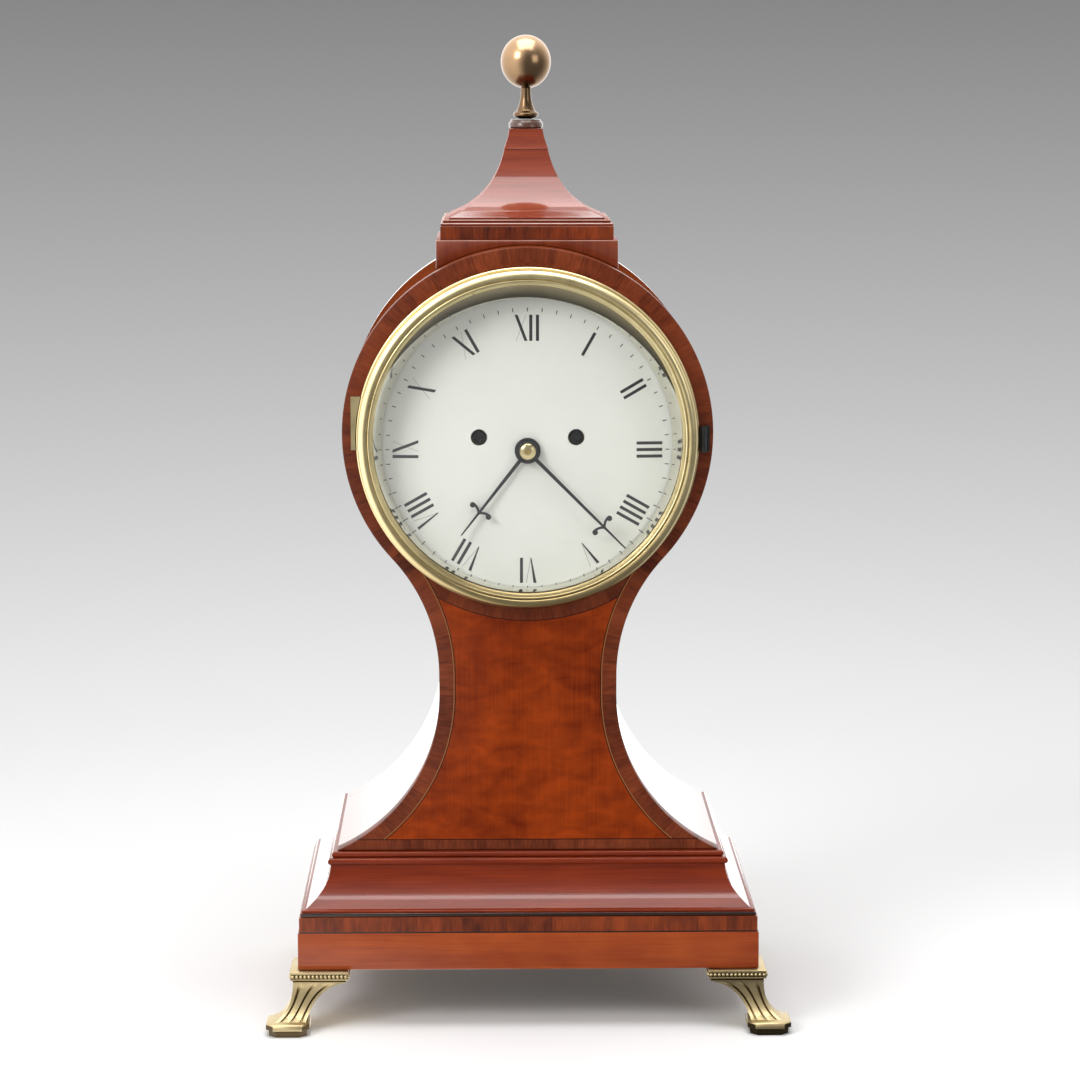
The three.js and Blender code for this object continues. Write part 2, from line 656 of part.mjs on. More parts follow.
// Cap, square in plan and centred over the case
const headTop = HEAD_Z + HEAD_RADIUS;
const blockTop = headTop + FIT + CAP_BLOCK_RISE;
const friezeZ = blockTop + FIT;
const roofZ = friezeZ + FRIEZE_HEIGHT + CAP_FILLET_HEIGHT + FIT;
const neckZ = roofZ + ROOF_HEIGHT + FIT;
const collarZ = neckZ + NECK_HEIGHT + FIT;
const finialZ = collarZ + COLLAR_HEIGHT + FIT;

function capLevel(half, z) {
  return [-half, half, MID_Y - half, MID_Y + half, z];
}

const arch = bar(0, HEAD_Z, HEAD_RADIUS + FIT, FRONT_Y, BACK_Y, 96);
const blockFoot = HEAD_Z + Math.sqrt((HEAD_RADIUS + FIT) ** 2 - CAP_HALF ** 2);
const squareBlock = loft([capLevel(CAP_HALF, blockFoot), capLevel(CAP_HALF, blockTop)], false);
add('cap_block', 'mahogany', cut(squareBlock, arch));
add('cap_frieze', 'kingwood', loft([
  capLevel(FRIEZE_HALF, friezeZ),
  capLevel(FRIEZE_HALF - CAP_FILLET_STEP / 2, friezeZ + FRIEZE_HEIGHT),
  capLevel(FRIEZE_HALF, friezeZ + FRIEZE_HEIGHT + CAP_FILLET_HEIGHT / 3),
  capLevel(FRIEZE_HALF - CAP_FILLET_STEP / 2, friezeZ + FRIEZE_HEIGHT + CAP_FILLET_HEIGHT / 2),
  capLevel(FRIEZE_HALF - CAP_FILLET_STEP, friezeZ + FRIEZE_HEIGHT + CAP_FILLET_HEIGHT),
], false));

const ROOF_STEPS = 12;
const roof = new THREE.QuadraticBezierCurve(
  new THREE.Vector2(ROOF_HALF, roofZ),
  new THREE.Vector2(
    NECK_FOOT_HALF + (ROOF_HALF - NECK_FOOT_HALF) * (1 - ROOF_HOLLOW) * 0.75,
    roofZ + ROOF_HEIGHT * (1 - ROOF_HOLLOW),
  ),
  new THREE.Vector2(NECK_FOOT_HALF, roofZ + ROOF_HEIGHT),
);
add('cap_pagoda', 'mahogany', loft(roof.getPoints(ROOF_STEPS).map((p) => capLevel(p.x, p.y)), false));
add('cap_neck', 'mahogany', loft([
  capLevel(NECK_FOOT_HALF, neckZ),
  capLevel(NECK_TOP_HALF, neckZ + NECK_HEIGHT),
], false));

// Finial on its collar
add('finial_collar', 'kingwood', spun(0, MID_Y, [
  [0, collarZ],
  [COLLAR_RADIUS, collarZ],
  [COLLAR_RADIUS, collarZ + COLLAR_HEIGHT * 0.6],
  [COLLAR_RADIUS * 0.85, collarZ + COLLAR_HEIGHT],
  [0, collarZ + COLLAR_HEIGHT],
], 24));
const ballZ = finialZ + FINIAL_STEM_HEIGHT + FINIAL_BALL_HEIGHT / 2;
const BALL_STEPS = 10;
const finialProfile = [
  [0, finialZ],
  [FINIAL_FOOT_RADIUS, finialZ],
  [FINIAL_FOOT_RADIUS * 0.95, finialZ + FINIAL_STEM_HEIGHT * 0.14],
  [FINIAL_FOOT_RADIUS * 0.6, finialZ + FINIAL_STEM_HEIGHT * 0.3],
  [FINIAL_STEM_RADIUS, finialZ + FINIAL_STEM_HEIGHT * 0.6],
  [FINIAL_STEM_RADIUS, finialZ + FINIAL_STEM_HEIGHT * 0.85],
];
for (let i = 1; i <= BALL_STEPS; i += 1) {
  const rise = -Math.PI / 2 + Math.asin(FINIAL_STEM_RADIUS / FINIAL_BALL_RADIUS);
  const turn = rise + ((Math.PI / 2 - rise) * (i - 1)) / (BALL_STEPS - 1);
  const radius = i === BALL_STEPS ? 0 : FINIAL_BALL_RADIUS * Math.cos(turn);
  finialProfile.push([radius, ballZ + (FINIAL_BALL_HEIGHT / 2) * Math.sin(turn)]);
}
add('finial', 'bronze', spun(0, MID_Y, finialProfile, 20));

// Bezel: a reeded ring with a rebate for the glass, and its hinge on the viewer's right
const bezelFront = BEZEL_Y - BEZEL_THICKNESS;
const glassBack = BEZEL_Y - GLASS_SEAT;
const rebate = BEZEL_INNER + GLASS_LAP + FIT;
const glassFront = glassBack - GLASS_THICKNESS;
const glassRim = BEZEL_INNER + GLASS_LAP;
const seatY = glassFront - FIT - GLASS_DOME * (1 - (BEZEL_INNER / glassRim) ** 2);
const reed = BEZEL_BAND / 8;
const bezelProfile = [
  [rebate, BEZEL_Y],
  [BEZEL_RADIUS, BEZEL_Y],
  [BEZEL_RADIUS, BEZEL_Y - BEZEL_THICKNESS * 0.22],
  [BEZEL_RADIUS - reed, BEZEL_Y - BEZEL_THICKNESS * 0.3],
  [BEZEL_RADIUS - reed * 1.1, BEZEL_Y - BEZEL_THICKNESS * 0.62],
  [BEZEL_RADIUS - reed * 2, bezelFront + BEZEL_THICKNESS * 0.08],
  [BEZEL_RADIUS - reed * 3.2, bezelFront],
  [BEZEL_RADIUS - reed * 4.6, bezelFront + BEZEL_THICKNESS * 0.1],
  [BEZEL_RADIUS - reed * 5.2, bezelFront + BEZEL_THICKNESS * 0.22],
  [BEZEL_RADIUS - reed * 6.2, bezelFront + BEZEL_THICKNESS * 0.2],
  [BEZEL_RADIUS - reed * 7, bezelFront + BEZEL_THICKNESS * 0.32],
  [BEZEL_INNER, bezelFront + BEZEL_THICKNESS * 0.36],
  [BEZEL_INNER, seatY],
  [rebate, seatY],
  [rebate, BEZEL_Y],
];
const bezelHingeX = BEZEL_RADIUS + FIT + KNUCKLE_RADIUS;
const bezelHingeY = FRONT_Y - leafGap;
const BEZEL_SIDES = 48;
add('bezel', 'brass', hingeMoving(
  bezelHingeX, bezelHingeY, BEZEL_Z, BEZEL_HINGE_HEIGHT,
  BEZEL_RADIUS - reed * 3, bezelHingeY + KNUCKLE_RADIUS, turned(0, BEZEL_Z, bezelProfile, BEZEL_SIDES),
));
add('bezel_hinge', 'blackened', hingeFixed(
  bezelHingeX, bezelHingeY, BEZEL_Z, BEZEL_HINGE_HEIGHT, 1, BEZEL_LEAF_WIDTH,
));
const catchX = -BEZEL_RADIUS - FIT;
const catchZ = BEZEL_Z + CATCH_RISE;
const catchStrip = box(catchX - CATCH_WIDTH, catchX + BEZEL_BAND / 2,
  BEZEL_Y - BEZEL_THICKNESS * 0.2, BEZEL_Y, catchZ - CATCH_HEIGHT / 2, catchZ + CATCH_HEIGHT / 2);
add('bezel_catch', 'brass', cut(catchStrip,
  bar(0, BEZEL_Z, BEZEL_RADIUS + FIT, BEZEL_Y - BEZEL_THICKNESS, BEZEL_Y + FIT, BEZEL_SIDES)));

// Domed sheets: points of a shallow dome from its middle out to its rim, bulging towards the viewer
function dome(rim, rise, inner, y, steps) {
  const points = [];
  for (let i = 0; i <= steps; i += 1) {
    const radius = inner + ((rim - inner) * i) / steps;
    points.push([radius, y - rise * (1 - (radius / rim) ** 2)]);
  }
  return points;
}

const DOME_STEPS = 4;
add('glass', 'glass', turned(0, BEZEL_Z, [
  ...dome(glassRim, GLASS_DOME, 0, glassBack, DOME_STEPS),
  ...dome(glassRim, GLASS_DOME, 0, glassFront, DOME_STEPS).reverse(),
], BEZEL_SIDES));

add('sight_ring', 'brass', turned(0, BEZEL_Z, [
  [BEZEL_INNER, FRONT_Y],
  [SIGHT_OUTER, FRONT_Y],
  [SIGHT_OUTER, INNER_Y],
  [SIGHT_INNER, INNER_Y],
  [BEZEL_INNER, FRONT_Y],
], BEZEL_SIDES));

// Dial: a domed plate with a centre hole, two winding holes and four feet that stand on the front plate
const WINDINGS = [[WINDING_X, WINDING_Z], [-WINDING_X, WINDING_Z]];
const dialBack = DIAL_Y + DIAL_THICKNESS;
const dialSheet = turned(0, 0, [
  ...dome(DIAL_RADIUS, DIAL_DOME, DIAL_HOLE_RADIUS, DIAL_Y, DOME_STEPS),
  ...dome(DIAL_RADIUS, DIAL_DOME, DIAL_HOLE_RADIUS, dialBack, DOME_STEPS).reverse(),
  [DIAL_HOLE_RADIUS, DIAL_Y - DIAL_DOME * (1 - (DIAL_HOLE_RADIUS / DIAL_RADIUS) ** 2)],
], 40);

function domeY(x, z) {
  return DIAL_DOME * (1 - (Math.hypot(x, z) / DIAL_RADIUS) ** 2);
}

const dialFeet = [DIAL_FOOT_LOW, DIAL_FOOT_HIGH].flatMap((z) => [-DIAL_FOOT_X, DIAL_FOOT_X].map((x) => (
  bar(x, z, DIAL_FOOT_RADIUS, DIAL_Y - domeY(x, z) + DIAL_THICKNESS * 0.7, PLATE_Y - FIT)
)));
const windingHoles = WINDINGS.map(([x, z]) => (
  bar(x, z, WINDING_HOLE_RADIUS, DIAL_Y - DIAL_DOME * 2, PLATE_Y, 16)
));
add('dial', 'enamel', cut(join(dialSheet, ...dialFeet), ...windingHoles), movement);

// Hands, drawn pointing up and turned to the time shown
const handHub = DIAL_Y - DIAL_DOME - HAND_GAP;
const hourHandY = handHub - HAND_THICKNESS;
const minuteHandY = hourHandY - HAND_GAP - HAND_THICKNESS;
const colletY = minuteHandY - FIT - COLLET_HEIGHT;
const CANNON_RADIUS = CENTRE_ARBOR_RADIUS + RUN + 0.8;
const HOUR_PIPE_BORE = CANNON_RADIUS + RUN;
const HOUR_PIPE_RADIUS = HOUR_PIPE_BORE + 1;

function hand(length, curl, boss, bore, angle, y) {
  const blade = board([
    new THREE.Vector2(-HAND_ROOT_WIDTH / 2, 0),
    new THREE.Vector2(HAND_ROOT_WIDTH / 2, 0),
    new THREE.Vector2(HAND_TIP_WIDTH / 2, curl),
    new THREE.Vector2(0, length),
    new THREE.Vector2(-HAND_TIP_WIDTH / 2, curl),
  ], y, y + HAND_THICKNESS);
  const arms = [-1, 1].map((side) => {
    const reach = side * HAND_CURL_REACH;
    const arm = board([
      new THREE.Vector2(0, curl + HAND_TIP_WIDTH),
      new THREE.Vector2(reach * 0.35, curl - HAND_CURL_BACK * 1.5),
      new THREE.Vector2(reach, curl - HAND_CURL_BACK * 0.6),
      new THREE.Vector2(reach, curl - HAND_CURL_BACK * 1.3),
      new THREE.Vector2(reach * 0.35, curl - HAND_CURL_BACK * 2.2),
      new THREE.Vector2(0, curl - HAND_TIP_WIDTH),
    ], y, y + HAND_THICKNESS);
    return join(arm, bar(reach, curl - HAND_CURL_BACK, HAND_CURL_BALL, y, y + HAND_THICKNESS));
  });
  const whole = join(blade, ...arms, bar(0, 0, boss, y, y + HAND_THICKNESS, 20));
  return cut(whole, bar(0, 0, bore, y - 1, y + HAND_THICKNESS + 1, 12)).rotate([0, angle, 0]);
}

add('hour_hand', 'blackened', hand(HOUR_HAND_LENGTH, HOUR_HAND_CURL, HOUR_HAND_BOSS,
  HOUR_PIPE_RADIUS + FIT, HOUR_HAND_ANGLE, hourHandY), movement);
add('minute_hand', 'blackened', hand(MINUTE_HAND_LENGTH, MINUTE_HAND_CURL, MINUTE_HAND_BOSS,
  CANNON_RADIUS + FIT, MINUTE_HAND_ANGLE, minuteHandY), movement);
add('hand_collet', 'brass', turned(0, 0, [
  [CENTRE_ARBOR_RADIUS + FIT, colletY],
  [COLLET_RADIUS * 0.7, colletY],
  [COLLET_RADIUS, colletY + COLLET_HEIGHT * 0.6],
  [COLLET_RADIUS, colletY + COLLET_HEIGHT],
  [CENTRE_ARBOR_RADIUS + FIT, colletY + COLLET_HEIGHT],
  [CENTRE_ARBOR_RADIUS + FIT, colletY],
], 16), movement);

// Wheels and pinions: pointed teeth, drawn with one tip and one root each
function teeth(count, pitch, phase) {
  const module = (2 * pitch) / count;
  const points = [];
  for (let i = 0; i < count; i += 1) {
    const tip = phase + (2 * Math.PI * i) / count;
    const root = tip + Math.PI / count;
    points.push(new THREE.Vector2(Math.cos(tip), Math.sin(tip)).multiplyScalar(pitch + ADDENDUM * module));
    points.push(new THREE.Vector2(Math.cos(root), Math.sin(root)).multiplyScalar(pitch - DEDENDUM * module));
  }
  return points;
}

function moved(points, [x, z]) {
  return points.map((point) => new THREE.Vector2(point.x + x, point.y + z));
}

// Four openings that leave a rim, a hub and four arms
const ARMS = 4;
const RIM_SHARE = 0.8;
const HUB_SHARE = 0.3;
const ARM_TURN = 14;

function crossings(pitch) {
  const holes = [];
  for (let i = 0; i < ARMS; i += 1) {
    const from = (360 / ARMS) * i + ARM_TURN / 2;
    const to = (360 / ARMS) * (i + 1) - ARM_TURN / 2;
    holes.push([
      ...arc(0, 0, pitch * RIM_SHARE, from, to, 3),
      ...arc(0, 0, pitch * HUB_SHARE, to - ARM_TURN, from + ARM_TURN, 1),
    ]);
  }
  return holes;
}

function wheel(at, count, pitch, phase, y) {
  const holes = crossings(pitch).map((hole) => moved(hole, at));
  return board(moved(teeth(count, pitch, phase), at), y, y + WHEEL_THICKNESS, holes);
}

function pinion(at, count, pitch, phase, wheelY) {
  const y = wheelY + WHEEL_THICKNESS / 2 - PINION_LENGTH / 2;
  return board(moved(teeth(count, pitch, phase), at), y, y + PINION_LENGTH);
}

// A meshing pair: pitch radii from the tooth counts, and the second gear's turn that puts its gap
// where the first gear has a tooth
function mesh(firstAt, firstCount, firstPhase, secondAt, secondCount) {
  const along = Math.atan2(secondAt[1] - firstAt[1], secondAt[0] - firstAt[0]);
  const apart = Math.hypot(secondAt[0] - firstAt[0], secondAt[1] - firstAt[1]);
  const share = (along - firstPhase) / ((2 * Math.PI) / firstCount);
  return {
    firstPitch: (apart * firstCount) / (firstCount + secondCount),
    secondPitch: (apart * secondCount) / (firstCount + secondCount),
    secondPhase: along + Math.PI - (0.5 - share) * ((2 * Math.PI) / secondCount),
  };
}

const CENTRE_AT = [0, 0];
const GOING_AT = WINDINGS[0];
const STRIKE_AT = WINDINGS[1];
const greatToCentre = mesh(GOING_AT, GREAT_TEETH, 0, CENTRE_AT, LEAVES);
const centreToThird = mesh(CENTRE_AT, CENTRE_TEETH, 0, THIRD_AT, LEAVES);
const thirdToEscape = mesh(THIRD_AT, THIRD_TEETH, 0, ESCAPE_AT, LEAVES);
const cannonToMinute = mesh(CENTRE_AT, CANNON_TEETH, 0, MINUTE_AT, CANNON_TEETH);
const hourToMinute = mesh(CENTRE_AT, HOUR_TEETH, 0, MINUTE_AT, LEAVES);
const strikeToPin = mesh(STRIKE_AT, STRIKE_GREAT_TEETH, 0, PIN_AT, PIN_LEAVES);
const pinToHoop = mesh(PIN_AT, PIN_TEETH, 0, HOOP_AT, HOOP_LEAVES);
const hoopToWarning = mesh(HOOP_AT, HOOP_TEETH, 0, WARNING_AT, LEAVES);
const warningToFly = mesh(WARNING_AT, WARNING_TEETH, 0, FLY_AT, LEAVES);

// Depths of the wheels between the plates, from front to back
const LAYER = 6.5;
const centreY = TRAIN_Y + 4;
const thirdY = centreY + LAYER;
const pinY = thirdY + LAYER;
const hoopY = pinY + LAYER;
const warningY = hoopY + LAYER;
const greatY = BACK_PLATE_Y - LAYER - WHEEL_THICKNESS;
const fuseeBack = greatY - FIT * 3;
const fuseeFront = fuseeBack - FUSEE_LENGTH;
const escapeY = greatY - LAYER - WHEEL_THICKNESS;
const flyFront = warningY + LAYER;
const flyBack = greatY - FIT;
const pivotFront = PLATE_Y + FIT;
const pivotBack = MOVEMENT_BACK_Y - FIT;

function arbor([x, z], radius = ARBOR_RADIUS, front = pivotFront, back = pivotBack) {
  return bar(x, z, radius, front, back);
}

// Plates: the back one carries the pillars, and both have a hole for each arbor
const lightArbors = [THIRD_AT, ESCAPE_AT, PALLET_AT, PIN_AT, HOOP_AT, WARNING_AT, FLY_AT, HAMMER_AT];
const BARRELS = [[BARREL_X, BARREL_Z], [-BARREL_X, BARREL_Z]];
const plateHoles = [
  ...lightArbors.map((at) => moved(circle(0, 0, ARBOR_RADIUS + RUN, 6), at)),
  ...[...WINDINGS, ...BARRELS].map((at) => moved(circle(0, 0, FUSEE_ARBOR_RADIUS + RUN, 12), at)),
  circle(0, 0, CENTRE_ARBOR_RADIUS + RUN, 12),
];
const plateOutline = [
  new THREE.Vector2(-PLATE_HALF, PLATE_BOTTOM),
  new THREE.Vector2(PLATE_HALF, PLATE_BOTTOM),
  new THREE.Vector2(PLATE_HALF, PLATE_TOP),
  new THREE.Vector2(-PLATE_HALF, PLATE_TOP),
];
const minuteStud = bar(...MINUTE_AT, ARBOR_RADIUS, PLATE_Y - DIAL_TO_PLATE * 0.85, PLATE_Y + FIT);
add('front_plate', 'brass', join(board(plateOutline, PLATE_Y, TRAIN_Y, plateHoles), minuteStud), movement);
const pillars = [-PILLAR_X, PILLAR_X].flatMap((x) => [PILLAR_LOW, PILLAR_HIGH].map((z) => (
  bar(x, z, PILLAR_RADIUS, TRAIN_Y + FIT, BACK_PLATE_Y + FIT, 12)
)));
const backSheet = board(plateOutline, BACK_PLATE_Y, MOVEMENT_BACK_Y, plateHoles);
add('back_plate', 'brass', join(backSheet, ...pillars), movement);

// Seat board between the case sides, under the plates, with two bolts up to the lower pillars
const seatTop = PLATE_BOTTOM - FIT;
const seatBottom = seatTop - SEAT_THICKNESS;

function innerHalf(z) {
  const sweep = SWEEP_RADIUS + SIDE_THICKNESS;
  return SWEEP_X - Math.sqrt(sweep ** 2 - (z + DIAL_Z - SWEEP_HIGH_Z) ** 2) - FIT * 2;
}

const seatOutline = [
  new THREE.Vector2(-innerHalf(seatBottom), seatBottom),
  new THREE.Vector2(innerHalf(seatBottom), seatBottom),
  new THREE.Vector2(innerHalf(seatTop), seatTop),
  new THREE.Vector2(-innerHalf(seatTop), seatTop),
];
const boltY = (TRAIN_Y + BACK_PLATE_Y) / 2;
const boltX = innerHalf(seatBottom) - BOLT_SIDE_GAP;
const boltHoles = [-boltX, boltX].map((x) => (
  post(x, boltY, BOLT_RADIUS + FIT, seatBottom - FIT, seatTop + FIT)
));
add('seat_board', 'oak', cut(board(seatOutline, PLATE_Y, MOVEMENT_BACK_Y, []), ...boltHoles), movement);

function seatBolt(x) {
  const shank = post(x, boltY, BOLT_RADIUS, seatBottom - BOLT_HEAD_HEIGHT, PILLAR_LOW - PILLAR_RADIUS - FIT);
  const head = post(x, boltY, BOLT_HEAD_RADIUS, seatBottom - FIT - BOLT_HEAD_HEIGHT, seatBottom - FIT, 6);
  return join(head, shank);
}

add('seat_bolt_left', 'steel', seatBolt(-boltX), movement);
add('seat_bolt_right', 'steel', seatBolt(boltX), movement);

// Barrels and fusees: the line runs from each fusee's large end to its barrel
const SQUARE = FUSEE_ARBOR_RADIUS * Math.SQRT2;

function fusee(at, count, pitch) {
  const profile = [[0, fuseeFront]];
  for (let i = 0; i <= FUSEE_TURNS; i += 1) {
    const share = i / FUSEE_TURNS;
    const radius = FUSEE_SMALL_RADIUS + (FUSEE_LARGE_RADIUS - FUSEE_SMALL_RADIUS) * share ** 1.4;
    const y = fuseeFront + FUSEE_LENGTH * share;
    profile.push([radius, y]);
    if (i < FUSEE_TURNS) profile.push([radius - LINE_RADIUS, y + FUSEE_LENGTH / FUSEE_TURNS / 2]);
  }
  profile.push([0, fuseeBack]);
  const windingEnd = DIAL_Y - domeY(...at) + DIAL_THICKNESS + FUSEE_ARBOR_RADIUS;
  const square = bar(...at, SQUARE, windingEnd, PLATE_Y - FUSEE_ARBOR_RADIUS, 4);
  const shank = bar(...at, FUSEE_ARBOR_RADIUS, windingEnd, pivotBack, 12);
  const core = bar(...at, FUSEE_SMALL_RADIUS, fuseeBack - FIT, greatY + WHEEL_THICKNESS, 16);
  const great = board(moved(teeth(count, pitch, 0), at), greatY, greatY + WHEEL_THICKNESS);
  return join(turned(...at, profile, 14), great, core, shank, square);
}

add('going_fusee', 'brass', fusee(GOING_AT, GREAT_TEETH, greatToCentre.firstPitch), movement);
add('strike_fusee', 'brass', fusee(STRIKE_AT, STRIKE_GREAT_TEETH, strikeToPin.firstPitch), movement);

const barrelBack = fuseeBack + BARREL_FLANGE + LINE_RADIUS * 3;
const barrelFront = barrelBack - BARREL_LENGTH;

function barrel(at) {
  const rim = BARREL_RADIUS + BARREL_FLANGE;
  const drum = turned(...at, [
    [0, barrelFront],
    [rim, barrelFront],
    [rim, barrelFront + BARREL_FLANGE],
    [BARREL_RADIUS, barrelFront + BARREL_FLANGE],
    [BARREL_RADIUS, barrelBack - BARREL_FLANGE],
    [rim, barrelBack - BARREL_FLANGE],
    [rim, barrelBack],
    [0, barrelBack],
  ], 20);
  return join(drum, arbor(at, FUSEE_ARBOR_RADIUS));
}

add('going_barrel', 'brass', barrel(BARRELS[0]), movement);
add('strike_barrel', 'brass', barrel(BARRELS[1]), movement);

// The straight run of a line touches both drums on the outer side
function line(fuseeAt, barrelAt, side) {
  const first = new THREE.Vector2(...fuseeAt);
  const second = new THREE.Vector2(...barrelAt);
  const firstRadius = FUSEE_LARGE_RADIUS + FIT + LINE_RADIUS;
  const secondRadius = BARREL_RADIUS + FIT + LINE_RADIUS;
  const along = second.clone().sub(first);
  const apart = along.length();
  along.normalize();
  const across = new THREE.Vector2(-along.y, along.x).multiplyScalar(side);
  const lean = (firstRadius - secondRadius) / apart;
  const normal = along.clone().multiplyScalar(lean).add(across.multiplyScalar(Math.sqrt(1 - lean * lean)));
  const from = first.addScaledVector(normal, firstRadius);
  const to = second.addScaledVector(normal, secondRadius);
  const y = fuseeBack - LINE_RADIUS * 2;
  const run = new THREE.LineCurve3(new THREE.Vector3(from.x, y, from.y), new THREE.Vector3(to.x, y, to.y));
  const ring = new THREE.Shape(circle(0, 0, LINE_RADIUS, 8));
  return solid(new THREE.ExtrudeGeometry(ring, { steps: 1, extrudePath: run, bevelEnabled: false }));
}

add('going_line', 'gut', line(GOING_AT, BARRELS[0], 1), movement);
add('strike_line', 'gut', line(STRIKE_AT, BARRELS[1], -1), movement);

// Going train and motion work
const arborFront = colletY - 1;
add('centre_wheel', 'brass', join(
  wheel(CENTRE_AT, CENTRE_TEETH, centreToThird.firstPitch, 0, centreY),
  pinion(CENTRE_AT, LEAVES, greatToCentre.secondPitch, greatToCentre.secondPhase, greatY),
  bar(0, 0, CENTRE_ARBOR_RADIUS, arborFront, pivotBack, 12),
), movement);
add('third_wheel', 'brass', join(
  wheel(THIRD_AT, THIRD_TEETH, thirdToEscape.firstPitch, 0, thirdY),
  pinion(THIRD_AT, LEAVES, centreToThird.secondPitch, centreToThird.secondPhase, centreY),
  arbor(THIRD_AT),
), movement);

// Escape wheel: teeth that lean the way it turns
function leaningTeeth() {
  const points = [];
  for (let i = 0; i < ESCAPE_TEETH; i += 1) {
    const root = (2 * Math.PI * i) / ESCAPE_TEETH;
    const tip = root + (Math.PI / ESCAPE_TEETH) * 0.4;
    points.push(new THREE.Vector2(Math.cos(root), Math.sin(root)).multiplyScalar(ESCAPE_RADIUS * 0.86));
    points.push(new THREE.Vector2(Math.cos(tip), Math.sin(tip)).multiplyScalar(ESCAPE_RADIUS));
  }
  return points;
}

add('escape_wheel', 'brass', join(
  board(moved(leaningTeeth(), ESCAPE_AT), escapeY, escapeY + WHEEL_THICKNESS,
    crossings(ESCAPE_RADIUS * 0.9).map((hole) => moved(hole, ESCAPE_AT))),
  pinion(ESCAPE_AT, LEAVES, thirdToEscape.secondPitch, thirdToEscape.secondPhase, thirdY),
  arbor(ESCAPE_AT),
), movement);

const cannonY = PLATE_Y - LAYER;
const hourY = cannonY - LAYER;
const cannonPipe = turned(0, 0, [
  [CENTRE_ARBOR_RADIUS + RUN, minuteHandY - FIT / 2],
  [CANNON_RADIUS, minuteHandY - FIT / 2],
  [CANNON_RADIUS, cannonY + WHEEL_THICKNESS],
  [CENTRE_ARBOR_RADIUS + RUN, cannonY + WHEEL_THICKNESS],
  [CENTRE_ARBOR_RADIUS + RUN, minuteHandY - FIT / 2],
], 16);
const cannonGear = board(teeth(CANNON_TEETH, cannonToMinute.firstPitch, 0),
  cannonY, cannonY + WHEEL_THICKNESS, [circle(0, 0, CENTRE_ARBOR_RADIUS + RUN * 2, 16)]);
add('cannon_pinion', 'brass', join(cannonGear, cannonPipe), movement);
const minuteBore = bar(...MINUTE_AT, ARBOR_RADIUS + RUN, hourY - PINION_LENGTH, PLATE_Y, 12);
const minuteHub = bar(...MINUTE_AT, hourToMinute.secondPitch, hourY + WHEEL_THICKNESS, cannonY + FIT, 12);
add('minute_wheel', 'brass', cut(join(
  board(moved(teeth(CANNON_TEETH, cannonToMinute.secondPitch, cannonToMinute.secondPhase), MINUTE_AT),
    cannonY, cannonY + WHEEL_THICKNESS),
  pinion(MINUTE_AT, LEAVES, hourToMinute.secondPitch, hourToMinute.secondPhase, hourY),
  minuteHub,
), minuteBore), movement);
add('hour_wheel', 'brass', join(
  board(teeth(HOUR_TEETH, hourToMinute.firstPitch, 0), hourY, hourY + WHEEL_THICKNESS,
    [circle(0, 0, HOUR_PIPE_BORE + RUN, 16)]),
  turned(0, 0, [
    [HOUR_PIPE_BORE, hourHandY - FIT / 2],
    [HOUR_PIPE_RADIUS, hourHandY - FIT / 2],
    [HOUR_PIPE_RADIUS, hourY + WHEEL_THICKNESS],
    [HOUR_PIPE_BORE, hourY + WHEEL_THICKNESS],
    [HOUR_PIPE_BORE, hourHandY - FIT / 2],
  ], 16),
), movement);

// Pallets: an anchor that stays just clear of the escape wheel, and the crutch behind the back plate
const NIB_CLEAR = 1.6;
const palletX = ESCAPE_RADIUS * 0.9;
const nibDrop = Math.sqrt((ESCAPE_RADIUS + NIB_CLEAR) ** 2 - palletX ** 2);
const nibZ = ESCAPE_AT[1] + nibDrop;
const crutchY = ROD_Y - ROD_RADIUS * 3;
const CRUTCH_LENGTH = 46;
const anchor = [-1, 1].map((side) => board([
  new THREE.Vector2(0, PALLET_AT[1] + ARBOR_RADIUS * 3),
  new THREE.Vector2(0, PALLET_AT[1] - ARBOR_RADIUS * 2),
  new THREE.Vector2(side * palletX, nibZ),
  new THREE.Vector2(side * (palletX + ARBOR_RADIUS * 3), nibZ + ARBOR_RADIUS),
], escapeY, escapeY + WHEEL_THICKNESS));
const crutchArm = box(-ARBOR_RADIUS, ARBOR_RADIUS, crutchY - ARBOR_RADIUS, crutchY + ARBOR_RADIUS,
  PALLET_AT[1] - CRUTCH_LENGTH, PALLET_AT[1]);
const crutchPin = [-1, 1].map((side) => box(
  Math.min(side * (ROD_RADIUS + FIT), side * (ROD_RADIUS * 2 + FIT)),
  Math.max(side * (ROD_RADIUS + FIT), side * (ROD_RADIUS * 2 + FIT)),
  crutchY - ARBOR_RADIUS, ROD_Y + ROD_RADIUS,
  PALLET_AT[1] - CRUTCH_LENGTH, PALLET_AT[1] - CRUTCH_LENGTH + ROD_RADIUS * 2,
));
const forkHalf = ROD_RADIUS * 2 + FIT;
const crutchFork = box(-forkHalf, forkHalf, crutchY - ARBOR_RADIUS, crutchY + ARBOR_RADIUS,
  PALLET_AT[1] - CRUTCH_LENGTH, PALLET_AT[1] - CRUTCH_LENGTH + ROD_RADIUS * 2);
const palletArbor = arbor(PALLET_AT, ARBOR_RADIUS, pivotFront, crutchY + ARBOR_RADIUS);
add('pallets', 'steel', join(...anchor, palletArbor, crutchArm, crutchFork, ...crutchPin), movement);

